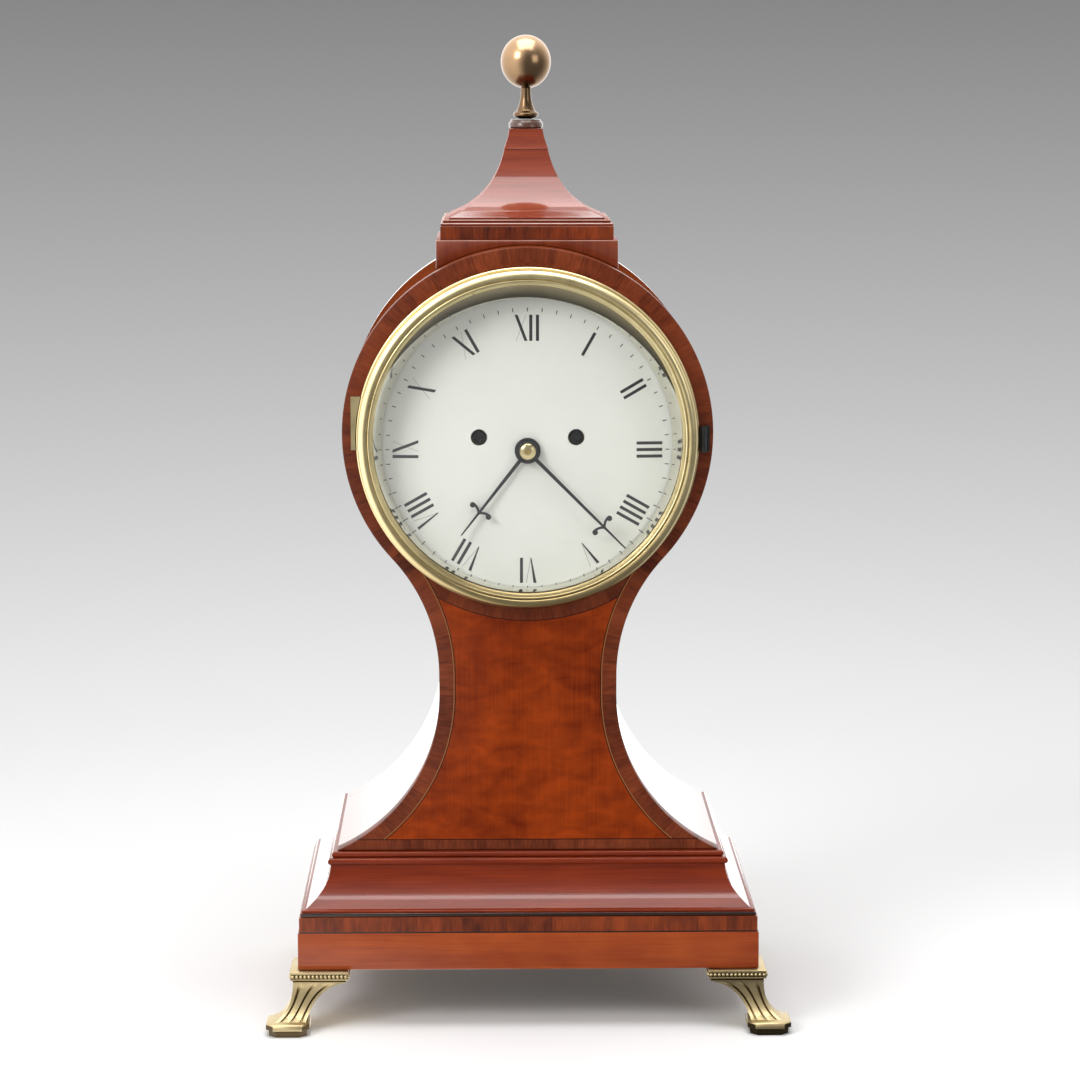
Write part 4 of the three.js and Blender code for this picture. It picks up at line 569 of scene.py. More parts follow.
@dataclass(frozen=True)
class BandedVeneer(Veneer):
    """The front's veneer: an upright figured panel, crossbanding round its edges, and a dark line with a pale
    line beside it, painted as the highlight along a raised bead.
    """

    cross: Veneer = Veneer(
        "Front crossbanding", dark="451b0e", light="7e3b20", streak=(9.0, 1.1), band=(30.0, 6.0), block=16.0
    )
    # Pale line: painted highlight along the raised dark bead
    pale: str = "8f5b33"
    black: str = "2a120b"
    shape: Balloon = BALLOON
    side_band: float = 9.0
    line: float = 0.6
    crescent: float = 113.2
    crescent_line: float = 0.5
    bottom_band: float = 6.5

    def zones(self, tree: Tree, place: Socket) -> dict:
        """Measures how far each place lies from the outline, the bezel and the foot.

        Args:
            tree: the material's tree.
            place: the place on the front in millimetres, x to the right and y up.

        Returns:
            Sockets by name: the zones' masks and the places along and across the bands.
        """
        s = self.shape
        edge, foot = self.side_band, s.foot_z + self.bottom_band
        x, z, _ = split(tree, place)
        steps = [
            ("ax", "ABSOLUTE", "x"),
            ("xx", "MULTIPLY", "ax", "ax"),
            ("hz", "SUBTRACT", "z", s.head_z),
            ("h2", "MULTIPLY_ADD", "hz", "hz", "xx"),
            ("hr", "SQRT", "h2"),
            ("hd", "SUBTRACT", s.head, "hr"),
            ("ha", "ARCTAN2", "hz", "ax"),
            ("hu", "MULTIPLY", "ha", s.head),
            ("z0", "MAXIMUM", "z", s.low_z),
            ("zc", "MINIMUM", "z0", s.high_z),
            ("sz", "SUBTRACT", "z", "zc"),
            ("sx", "SUBTRACT", s.sweep_x, "ax"),
            ("s1", "MULTIPLY", "sx", "sx"),
            ("s2", "MULTIPLY_ADD", "sz", "sz", "s1"),
            ("sr", "SQRT", "s2"),
            ("sd", "SUBTRACT", "sr", s.sweep),
            ("sa", "ARCTAN2", "sz", "sx"),
            ("su", "MULTIPLY_ADD", "sa", s.sweep, "zc"),
            ("m1", "MULTIPLY", "ax", s.head_z - s.high_z),
            ("m2", "MULTIPLY_ADD", "hz", s.sweep_x, "m1"),
            ("top", "GREATER_THAN", "m2", 0.0),
            ("below", "SUBTRACT", 1.0, "top"),
            ("dd", "SUBTRACT", "hd", "sd"),
            ("d", "MULTIPLY_ADD", "top", "dd", "sd"),
            ("du", "SUBTRACT", "hu", "su"),
            ("u", "MULTIPLY_ADD", "top", "du", "su"),
            ("bz", "SUBTRACT", "z", s.bezel_z),
            ("b2", "MULTIPLY_ADD", "bz", "bz", "xx"),
            ("br", "SQRT", "b2"),
            ("ba", "ARCTAN2", "bz", "ax"),
            ("bu", "MULTIPLY", "ba", self.crescent),
            ("side", "LESS_THAN", "d", edge),
            ("pale0", "LESS_THAN", "d", edge + self.line),
            ("pale", "MULTIPLY", "pale0", "below"),
            ("dark0", "LESS_THAN", "d", edge + 2 * self.line),
            ("dark", "MULTIPLY", "dark0", "below"),
            ("moon", "LESS_THAN", "br", self.crescent),
            ("moon_line", "LESS_THAN", "br", self.crescent + self.crescent_line),
            ("foot", "LESS_THAN", "z", foot),
            ("foot_line", "LESS_THAN", "z", foot + self.line),
        ]
        return run_formula(tree, steps, {"x": x, "z": z})

    def dress(self, tree: Tree, shader: Node) -> None:
        zone = self.zones(tree, place_in(tree, Place.UV))
        tone = self.tone(tree, self.vector(tree))
        colour = self.colour(tree, tone)
        layers = [
            ("moon_line", None),
            ("moon", ("br", "bu")),
            ("dark", None),
            # The pale line is a painted highlight
            ("pale", self.pale),
            ("side", ("d", "u")),
            ("foot_line", None),
            ("foot", ("z", "x")),
        ]
        for mask, look in layers:
            if isinstance(look, tuple):
                along = {0: zone[look[0]], 1: zone[look[1]]}
                vector = add_node(tree, "ShaderNodeCombineXYZ", None, along).outputs[0]
                over = self.cross.colour(tree, self.cross.tone(tree, vector))
            else:
                over = linear(look or self.black)
            colour = mix_colours(tree, zone[mask], colour, over)
        tree.links.new(colour, shader.inputs["Base Color"])
        self.polish(tree, shader, tone)


# Figured mahogany for the front: orange-brown, upright grain, with its bands and lines
FRONT_VENEER = BandedVeneer(
    "Banded mahogany veneer",
    dark="551501",
    light="9e3d0a",
    grain=Grain.UPRIGHT,
    band=(80.0, 38.0),
    mottle=(8.0, 16.0),
    shares=(0.2, 0.4, 0.4),
    coat=0.2,
    sheen=0.05,
)
# The bent sides: the same leaf, its grain running up over the arch, where the polish has worn away
SIDE_VENEER = Veneer("Mahogany side veneer", dark="52200f", light="85401f", gloss=0.03, worn=(120.0, 330.0))
# Ends of the cove and rim of the back board: freshly polished, so they mirror the studio
END_VENEER = Veneer("Bright-polished mahogany", dark="52200f", light="85401f", gloss=0.03)
# Plinth: lighter, with the grain lying level
LEVEL_VENEER = Veneer(
    "Level-grained mahogany veneer", dark="7c2b0d", light="ac501f", mottle=(26.0, 14.0), coat=0.5
)
# Cove: straight-grained and darker red, thinly polished
COVE_VENEER = Veneer(
    "Straight-grained mahogany", dark="5c1909", light="8d3412", mottle=(60.0, 6.0), gloss=0.06, coat=0.3
)
# Roof and neck: the same wood, brighter polished
ROOF_VENEER = Veneer(
    "Polished straight-grained mahogany", dark="621c0a", light="913c1c", mottle=(60.0, 6.0), gloss=0.08
)
# Faces of the cap that lie level or along the sides: the same wood, dulled
DULLED = Veneer(
    "Dulled straight-grained mahogany",
    dark="621c0a",
    light="913c1c",
    mottle=(60.0, 6.0),
    gloss=0.3,
    coat=0.12,
    sheen=0.05,
)
# Sharp edges of the cap, painted pale as highlights
PAINTED_EDGE_HIGHLIGHT = Plain("Mahogany with painted edge highlight", colour="c0a497", other="8d6555", roughness=0.4, cloud=9.0)
# Cap block: figured, grain upright
FIGURED = Veneer("Figured mahogany veneer", dark="622616", light="91462a", grain=Grain.UPRIGHT)
# Back door: the same wood, cut as a board and only waxed, with a brass hinge leaf
DOOR_BOARD = FittedBoard(
    "Mahogany board", dark="6a2912", light="a24d28", place=Place.OBJECT, gloss=0.35, coat=0.2
)
# Turned collar: brown-black
DARK_WOOD = Veneer("Dark turned wood", dark="3a2219", light="5c3a2b", gloss=0.2)
# Crossbanding: short upright streaks in butted lengths
CROSSBAND = Veneer(
    "Kingwood crossbanding",
    dark="42190d",
    light="964018",
    grain=Grain.UPRIGHT,
    streak=(14.0, 1.0),
    band=(40.0, 7.0),
    block=17.0,
    coat=0.5,
)
# Thin black bead and lines
EBONY = Plain("Ebonised beading", colour="1a0d08", other="2b160d", roughness=0.25, cloud=12.0, coat=0.6)
# Back board and seat: pale, open-grained, unpolished
OAK = Veneer("Waxed oak", dark="6f5433", light="a3835a", streak=(70.0, 1.0), gloss=0.5, coat=0.1)
OAK_BLOCK = Veneer("Waxed oak board", dark="6f5433", light="a3835a", place=Place.OBJECT, gloss=0.5, coat=0.1)
# Floor of the base: grey with dust
DEAL = Veneer("Dusty deal board", dark="6b6762", light="a29e98", place=Place.OBJECT, gloss=0.6, coat=0.0)
# Pale lacquered brass of the bezel, brown in its corners, with painted shade that darkens it towards the
# bottom
BRASS = Metal(
    "Lacquered brass",
    colour="e0cf9e",
    tarnish="8a7448",
    roughness=0.3,
    corner=0.8,
    dirt=0.6,
    painted_low_shade=(250.0, 350.0, 0.25),
)
# The ring round the dial: silvered, so that it mirrors the dial, with a crescent at the top painted dark as
# shade
RING_BRASS = SilverWithPaintedShade(
    "Silvered brass with painted shade crescent",
    colour="e8e6da",
    tarnish="b8b098",
    roughness=0.12,
    middle=(-1.0, BALLOON.bezel_z - 15.0),
    radius=101.2,
)
# Feet: duller, with brown in the flutes and under the beads
FOOT_BRASS = Metal("Worn cast brass", colour="ae9d77", tarnish="5c4a2c", roughness=0.42, corner=2.0, dirt=1.2)
# Cut corners and lower edge of the toes, painted dark as shade
SHADED_TOE_BRASS = Metal("Brass painted dark as shade", colour="4c3f2c", tarnish="201810", roughness=0.42)
# Movement brass: plain, a little duller
PLATE_BRASS = Metal("Movement brass", colour="cda95f", tarnish="6b4f24", roughness=0.3)
# The finial's toned-down gilding, with painted shade darkening its lower part
GILT = Metal(
    "Toned gilt bronze", colour="ab8c6c", tarnish="4f3c29", roughness=0.24, painted_low_shade=(575.0, 614.0, 0.2)
)
# Polished steel of arbors, rod and springs
STEEL = Metal("Polished steel", colour="b9bcc0", tarnish="4c4d50", roughness=0.22)
# Winding squares: steel, painted dark as the shade deep in the winding holes
HOLE_SHADE_STEEL = Metal("Steel painted dark as hole shade", colour="303032", tarnish="101010", roughness=0.35)
# Blackened hands and hinge
BLACKING = Plain("Blackened steel", colour="121314", other="1f2022", roughness=0.38, cloud=6.0)
# Dial: off-white painted enamel with a soft sheen
ENAMEL = Plain("Dial enamel", colour="e8eae2", other="e0e2d9", roughness=0.3, cloud=60.0)
# Numerals and minute marks
INK = Plain("Dial ink", colour="1b1c1c", other="303130", roughness=0.5, cloud=3.0)
# Twisted gut lines
GUT = Plain("Gut line", colour="b08d57", other="8f6f3e", roughness=0.5, cloud=2.0)
# Domed glass in the bezel
GLASS = ClearGlass("Clear glass", tint="ffffff")


# Mesh work


# Turns what lies level to face the front
TO_FRONT = Matrix.Rotation(math.pi / 2, 4, "X")


def corners_in(geom: Sequence) -> list[bmesh.types.BMVert]:
    """Picks the corners out of what an operator made.

    Args:
        geom: corners, edges and faces.

    Returns:
        The corners alone.
    """
    return [g for g in geom if isinstance(g, bmesh.types.BMVert)]


class Workpiece:
    """One mesh in the making, drawn in millimetres."""

    def __init__(self, name: str) -> None:
        """Starts an empty mesh.

        Args:
            name: what the piece will be called.
        """
        self.name = name
        self.bm = bmesh.new()
        self.uv = self.bm.loops.layers.uv.new("grain")
        self.mapped = False

    def lathe(
        self, profile: Sequence[Point], axis: Axis, centre: Triple, steps: int = 128, closed: bool = True
    ) -> None:
        """Spins a profile a full turn.

        Args:
            profile: points as distance from the axis and distance along it.
            axis: the axis to turn about.
            centre: a point on the axis.
            steps: how many faces go round.
            closed: whether the last point joins the first.
        """
        middle, along = Vector(centre), Vector(axis.value)
        verts = [self.bm.verts.new(middle + Vector((r, 0, 0)) + along * a) for r, a in profile]
        edges = [self.bm.edges.new(pair) for pair in zip(verts, verts[1:])]
        if closed:
            edges.append(self.bm.edges.new((verts[-1], verts[0])))
        bmesh.ops.spin(
            self.bm, geom=verts + edges, cent=middle, axis=along, angle=math.tau, steps=steps, use_merge=True
        )

    def block(self, low: Triple, high: Triple) -> list[bmesh.types.BMVert]:
        """Adds a box.

        Args:
            low: its lowest corner.
            high: its highest corner.

        Returns:
            The box's corners.
        """
        a, b = Vector(low), Vector(high)
        place = Matrix.Translation((a + b) / 2) @ Matrix.Diagonal((*(b - a), 1))
        return bmesh.ops.create_cube(self.bm, size=1, matrix=place)["verts"]

    def loft(self, loops: Sequence[Sequence[Vector]], ring: bool = False) -> None:
        """Skins a stack of closed loops that have the same number of points.

        Args:
            loops: the loops from first to last.
            ring: whether the last loop joins the first. Otherwise the ends are capped.
        """
        rows = [[self.bm.verts.new(p) for p in loop] for loop in loops]
        rings = [[self.bm.edges.new(pair) for pair in zip(row, row[1:] + row[:1])] for row in rows]
        pairs = list(zip(rings, rings[1:])) + ([(rings[-1], rings[0])] if ring else [])
        for first, second in pairs:
            bmesh.ops.bridge_loops(self.bm, edges=first + second)
        if not ring:
            for end in (rings[0], rings[-1]):
                bmesh.ops.contextual_create(self.bm, geom=end)

    def balloon(self, inset: float = 0.0, foot_z: float | None = None, steps: int = 64) -> None:
        """Draws the case's outline, moved inwards, by turning a point round its arcs.

        Args:
            inset: how far inside the case's outline it lies.
            foot_z: height of its straight lower edge, the case's foot if not given.
            steps: faces round the head's half.
        """
        s = BALLOON
        foot = s.foot_z if foot_z is None else foot_z
        splay = math.asin((s.low_z - foot) / (s.sweep + inset))
        point = [self.bm.verts.new((0, 0, s.head_z + s.head - inset))]
        point = self.turn(point, (0, 0, s.head_z), math.pi / 2 + s.turn, steps)
        point = self.turn(point, (s.sweep_x, 0, s.high_z), -s.turn, steps // 2)
        point = bmesh.ops.extrude_vert_indiv(self.bm, verts=point)["verts"]
        bmesh.ops.translate(self.bm, verts=point, vec=(0, 0, s.low_z - s.high_z))
        self.turn(point, (s.sweep_x, 0, s.low_z), -splay, steps // 2)

    def turn(
        self, start: list[bmesh.types.BMVert], centre: Triple, angle: float, steps: int
    ) -> list[bmesh.types.BMVert]:
        """Draws an arc in the front's plane by turning a point.

        Args:
            start: the point that it starts from.
            centre: the arc's middle.
            angle: how far it turns, in radians.
            steps: how many edges it has.

        Returns:
            The point where it ends.
        """
        axis = Axis.DEPTH.value
        turned = bmesh.ops.spin(self.bm, geom=start, cent=centre, axis=axis, angle=angle, steps=steps)
        return corners_in(turned["geom_last"])

    def mirror(self) -> None:
        """Repeats everything on the other side of the middle, and joins it there."""
        geom = self.bm.verts[:] + self.bm.edges[:] + self.bm.faces[:]
        bmesh.ops.mirror(self.bm, geom=geom, matrix=Matrix.Identity(4), merge_dist=MERGE, axis="X")
        bmesh.ops.remove_doubles(self.bm, verts=self.bm.verts[:], dist=MERGE)

    def close(self) -> None:
        """Joins the two loose ends of an open outline, if there are any."""
        ends = [v for v in self.bm.verts if len(v.link_edges) == 1]
        if len(ends) == 2:
            self.bm.edges.new(ends)

    def hole(self, x: float, z: float, radius: float, steps: int = 160) -> None:
        """Draws a circle for a hole, at y zero.

        Args:
            x: its middle, to the right.
            z: its middle, up.
            radius: its radius.
            steps: how many edges it has.
        """
        place = Matrix.Translation((x, 0, z)) @ TO_FRONT
        bmesh.ops.create_circle(self.bm, cap_ends=False, segments=steps, radius=radius, matrix=place)

    def disc(self, middle: Vector, radius: float, thick: float, steps: int) -> None:
        """Adds a round disc that faces the front.

        Args:
            middle: its middle.
            radius: its radius.
            thick: its thickness.
            steps: how many faces go round.
        """
        place = Matrix.Translation(middle) @ TO_FRONT
        bmesh.ops.create_cone(
            self.bm, cap_ends=True, segments=steps, radius1=radius, radius2=radius, depth=thick, matrix=place
        )

    def board(self, front: float, back: float) -> None:
        """Fills the drawn outlines, and makes them a board between two places in depth.

        Args:
            front: y of its front face.
            back: y of its back face.
        """
        self.close()
        edges = [e for e in self.bm.edges if not e.link_faces]
        filled = bmesh.ops.triangle_fill(self.bm, use_beauty=True, edges=edges)
        faces = [g for g in filled["geom"] if isinstance(g, bmesh.types.BMFace)]
        bmesh.ops.translate(self.bm, verts=self.bm.verts[:], vec=(0, front, 0))
        self.thicken(faces, Vector((0, back - front, 0)))

    def thicken(self, faces: list[bmesh.types.BMFace], by: Vector) -> None:
        """Extrudes an open sheet to a closed slab.

        Args:
            faces: the sheet.
            by: how far and which way.
        """
        made = bmesh.ops.extrude_face_region(self.bm, geom=faces, use_keep_orig=True)
        bmesh.ops.translate(self.bm, verts=corners_in(made["geom"]), vec=by)

    def weld(self) -> None:
        """Joins corners that meet, and turns every face outwards."""
        bmesh.ops.remove_doubles(self.bm, verts=self.bm.verts[:], dist=MERGE)
        bmesh.ops.recalc_face_normals(self.bm, faces=self.bm.faces[:])

    def soften(self, width: float, pick: Callable[[bmesh.types.BMEdge], bool]) -> None:
        """Rounds edges with two faces each.

        Args:
            width: how far the rounding reaches on each side.
            pick: says which edges.
        """
        self.weld()
        edges = [e for e in self.bm.edges if e.is_manifold and e.calc_face_angle(0) > CREASE and pick(e)]
        bmesh.ops.bevel(
            self.bm,
            geom=edges,
            offset=width,
            offset_type="OFFSET",
            affect="EDGES",
            segments=2,
            profile=0.5,
            material=-1,
        )

    def paint(self, index: int, where: Callable[[Vector, Vector], bool]) -> None:
        """Gives faces another of the piece's materials.

        Args:
            index: the material's place in the list given to done().
            where: says, from a face's middle and normal, whether it takes the material.
        """
        bmesh.ops.recalc_face_normals(self.bm, faces=self.bm.faces[:])
        for face in self.bm.faces:
            if where(face.calc_center_median(), face.normal):
                face.material_index = index

    def map_faces(self, flat: bool = False) -> None:
        """Lays the grain's map flat on each face, in millimetres, with u level and v up.

        Args:
            flat: whether every face takes the map as seen from the front.
        """
        self.mapped = True
        self.bm.normal_update()
        for face in self.bm.faces:
            n = face.normal
            upright = flat or abs(n.z) < UPRIGHT
            across = 0 if flat or abs(n.y) >= abs(n.x) or not upright else 1
            up = 2 if upright else 1
            for loop in face.loops:
                loop[self.uv].uv = (loop.vert.co[across], loop.vert.co[up])

    def mesh(self) -> bpy.types.Mesh:
        """Turns the drawing into a mesh in metres, and lets the drawing go.

        Returns:
            The mesh.
        """
        bmesh.ops.scale(self.bm, verts=self.bm.verts[:], vec=(MM, MM, MM))
        mesh = bpy.data.meshes.new(self.name)
        self.bm.to_mesh(mesh)
        self.bm.free()
        return mesh

    def done(
        self,
        body: str,
        finishes: Sequence[Finish],
        stands_for: Sequence[str] = (),
        smooth: float = 40.0,
    ) -> bpy.types.Object:
        """Makes the mesh an object of the clock.

        Args:
            body: the CAD body that it moves with.
            finishes: its materials, in the order of the faces' indices.
            stands_for: CAD nodes that it is shown in place of.
            smooth: the angle in degrees over which an edge stays sharp.

        Returns:
            The object.
        """
        self.weld()
        if not self.mapped:
            self.map_faces()
        open_edges = sum(1 for e in self.bm.edges if not e.is_manifold)
        count = len(self.bm.calc_loop_triangles())
        mesh = self.mesh()
        mesh.shade_smooth()
        mesh.set_sharp_from_angle(angle=math.radians(smooth))
        for finish in finishes:
            mesh.materials.append(finish.material())
        made = bpy.data.objects.new(self.name, mesh)
        bpy.context.scene.collection.objects.link(made)
        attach(made, body)
        if stands_for:
            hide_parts(*stands_for)
        LOG.info("%s: %d triangles, %d open edges", self.name, count, open_edges)
        return made


def rectangle(half_x: float, low_y: float, high_y: float, z: float) -> list[Vector]:
    """Gives the corners of a level rectangle.

    Args:
        half_x: half its width.
        low_y: y of its front edge.
        high_y: y of its back edge.
        z: its height.

    Returns:
        The four corners, in turn.
    """
    corners = ((-half_x, low_y), (half_x, low_y), (half_x, high_y), (-half_x, high_y))
    return [Vector((x, y, z)) for x, y in corners]


def shares(count: int) -> list[float]:
    """Gives evenly spaced shares of a length.

    Args:
        count: how many steps there are.

    Returns:
        Numbers from zero to one, both ends among them.
    """
    return [i / count for i in range(count + 1)]


def bend(line: Sequence[Point], share: float) -> Point:
    """Gives a point of a curve that is pulled aside on its way.

    Args:
        line: where it starts, the point that pulls it, and where it ends.
        share: how far along the curve, from zero to one.

    Returns:
        The point.
    """
    weights = ((1 - share) ** 2, 2 * share * (1 - share), share**2)
    x, z = (sum(w * point[i] for w, point in zip(weights, line)) for i in (0, 1))
    return (x, z)


# Sub-assemblies


@dataclass
class CaseShell:
    """Front, bent sides and back board."""

    front: Point = (-72.0, -60.0)
    sides: Point = (-59.7, 77.7)
    back: Point = (78.0, 90.0)
    side_thickness: float = 7.0
    opening: float = 97.3
    sharp_rim: float = 5.0
    edge: float = 0.7
    door_inset: float = 20.0
    sill_z: float = 134.3

    def build(self) -> None:
        """Makes every piece of the shell."""
        self.build_front()
        self.build_sides()
        self.build_back()

    def build_front(self) -> None:
        """Makes the front board with its round opening and softened edge."""
        work = Workpiece("front_board")
        work.balloon()
        work.mirror()
        work.hole(0, BALLOON.bezel_z, self.opening)
        work.board(*self.front)
        front, rim = self.front[0], self.opening + self.sharp_rim
        middle = Vector((0, front, BALLOON.bezel_z))
        work.soften(
            self.edge,
            lambda e: all(abs(v.co.y - front) < TOUCH for v in e.verts)
            and (e.verts[0].co - middle).length > rim,
        )
        work.map_faces(flat=True)
        work.done("case", [FRONT_VENEER], ["case_front"])

    def build_sides(self) -> None:
        """Makes the two bent sides, mapped along their run."""
        for sign, name in ((1, "right"), (-1, "left")):
            work = Workpiece(f"side_{name}")
            work.balloon()
            bm = work.bm
            lengths, run = {}, 0.0
            verts = list(bm.verts)
            for a, b in zip(verts, verts[1:]):
                lengths[self.key(a.co)] = run
                run += (b.co - a.co).length
            lengths[self.key(verts[-1].co)] = run
            bmesh.ops.translate(bm, verts=verts, vec=(0, self.sides[0], 0))
            made = bmesh.ops.extrude_edge_only(bm, edges=bm.edges[:])
            deep = (0, self.sides[1] - self.sides[0], 0)
            bmesh.ops.translate(bm, verts=corners_in(made["geom"]), vec=deep)
            for face in bm.faces:
                for loop in face.loops:
                    loop[work.uv].uv = (lengths[self.key(loop.vert.co)], loop.vert.co.y)
            work.mapped = True
            bmesh.ops.recalc_face_normals(bm, faces=bm.faces[:])
            highest = max(bm.faces, key=lambda f: f.calc_center_median().z)
            inward = self.side_thickness if highest.normal.z > 0 else -self.side_thickness
            bmesh.ops.solidify(bm, geom=bm.faces[:], thickness=inward)
            bmesh.ops.scale(bm, verts=bm.verts[:], vec=(sign, 1, 1))
            work.done("case", [SIDE_VENEER], [f"case_side_{name}"])

    def key(self, place: Vector) -> Point:
        """Names a place on the outline, whatever its depth.

        Args:
            place: a point on the outline.

        Returns:
            Its x and z, rounded.
        """
        return (round(place.x, 3), round(place.z, 3))

    def build_back(self) -> None:
        """Makes the back board round the door's opening, and polishes its rim."""
        work = Workpiece("back_board")
        work.balloon()
        work.mirror()
        work.close()
        work.balloon(self.door_inset, self.sill_z)
        work.mirror()
        work.board(*self.back)
        work.paint(1, lambda c, n: abs(n.x) > abs(n.y) and n.x * c.x > 0)
        work.done("case", [OAK, END_VENEER], ["case_back"])


@dataclass
class Base:
    """The plinth with its crossbanded upper edge, and the cove moulding on it.

    Points of the moulding are insets from the plinth's faces, and heights.
    """

    half_width: float = 143.5
    half_depth: float = 96.0
    bottom_z: float = 38.0
    top_z: float = 71.0
    band: float = 9.8
    band_inset: float = 0.9
    line: float = 0.8
    wall: float = 14.0
    cove_z: float = 71.3
    cove_wall: float = 9.0
    bead: float = 2.2
    # Insets of the bead's edges, and heights above the moulding's foot
    bead_line: tuple[Point, ...] = ((2.0, 0.0), (1.8, 0.2), (1.8, 2.0), (2.0, 2.2), (3.4, 2.2))
    # Insets of the fillet's proudest line and of its edges
    lip: Point = (2.6, 3.6)
    quirk: float = 0.3
    cove_foot: Point = (5.3, 75.7)
    cove_head: Point = (20.0, 100.0)
    flare: float = 11.0
    cove_steps: int = 24
    # Insets of each reed's proudest line and of its edges, and its height
    reeds: tuple[Triple, ...] = ((18.3, 20.0, 4.4), (20.8, 22.2, 3.6))
    reed_gap: float = 0.1
    reed_steps: int = 8
    top: Point = (22.0, 108.0)
    back_share: float = 1 / 4
    edge: float = 0.6

    def build(self) -> None:
        """Makes the plinth and the moulding."""
        self.build_plinth()
        self.build_moulding()

    def ring(self, inset: float, z: float, share: float = 1.0) -> list[Vector]:
        """Gives a level rectangle inside the plinth's plan.

        Args:
            inset: how far inside the front and sides.
            z: its height.
            share: how much of the inset the back takes.

        Returns:
            Its corners.
        """
        back = self.half_depth - inset * share
        return rectangle(self.half_width - inset, inset - self.half_depth, back, z)

    def is_outer(self, place: Vector) -> bool:
        """Tells the plinth's outer faces from its hollow.

        Args:
            place: a point of the plinth.

        Returns:
            Whether it lies on an outer face.
        """
        return abs(place.y) > self.half_depth - TOUCH or abs(place.x) > self.half_width - TOUCH

    def build_plinth(self) -> None:
        """Makes the plinth box, its band and its black line."""
        work = Workpiece("plinth")
        line_z = self.top_z - self.band
        steps = [(0, self.bottom_z), (0, line_z)]
        steps += [(self.band_inset, z) for z in (line_z, line_z + self.line, self.top_z)]
        steps += [(self.wall, self.top_z), (self.wall, self.bottom_z)]
        work.loft([self.ring(inset, z) for inset, z in steps], ring=True)
        work.soften(
            self.edge, lambda e: all(v.co.z < line_z + TOUCH and self.is_outer(v.co) for v in e.verts)
        )
        work.paint(1, lambda c, n: c.z > line_z and abs(n.z) < UPRIGHT)
        work.paint(2, lambda c, n: line_z < c.z < line_z + self.line)
        work.done("case", [LEVEL_VENEER, CROSSBAND, EBONY], ["base_plinth"])

    def profile(self) -> list[Point]:
        """Draws the moulding's section.

        Returns:
            Points as inset and height, from the plinth up: bead, fillet, cove and two reeds.
        """
        (x0, z0), (x1, z1) = self.cove_foot, self.cove_head
        points = [(inset, self.cove_z + rise) for inset, rise in self.bead_line]
        points += self.reed(*self.lip, self.cove_z + self.bead, z0 - self.quirk)
        points.append((x0 - self.quirk, z0 - self.quirk))
        cove = (self.cove_foot, (x1, z0 + self.flare), self.cove_head)
        points += [bend(cove, s) for s in shares(self.cove_steps)]
        for out, inn, tall in self.reeds:
            points += self.reed(out, inn, z1 + self.reed_gap, z1 + tall - self.reed_gap)
            z1 += tall
        return points + [self.top]

    def reed(self, out: float, inn: float, low: float, high: float) -> list[Point]:
        """Draws a half-round moulding.

        Args:
            out: inset of its proudest line.
            inn: inset of its lower and upper edges.
            low: height of its lower edge.
            high: height of its upper edge.

        Returns:
            Points as inset and height.
        """
        turns = [math.pi * s for s in shares(self.reed_steps)]
        return [(inn - (inn - out) * math.sin(a), low + (high - low) * (1 - math.cos(a)) / 2) for a in turns]

    def build_moulding(self) -> None:
        """Makes the cove moulding round the top of the plinth."""
        work = Workpiece("cove_moulding")
        loops = [self.ring(inset, z, self.back_share) for inset, z in self.profile()]
        inner = self.top[0] + self.cove_wall
        loops += [self.ring(inner, self.top[1]), self.ring(inner, self.cove_z)]
        work.loft(loops, ring=True)
        bead_z = self.cove_z + self.bead
        end_x = self.half_width - self.top[0]
        work.paint(1, lambda c, n: c.z < bead_z and n.z < LEVEL)
        work.paint(2, lambda c, n: c.z > bead_z and abs(n.x) > abs(n.y) and abs(c.x) > end_x)
        work.done("case", [COVE_VENEER, EBONY, END_VENEER], ["base_moulding"], smooth=50)


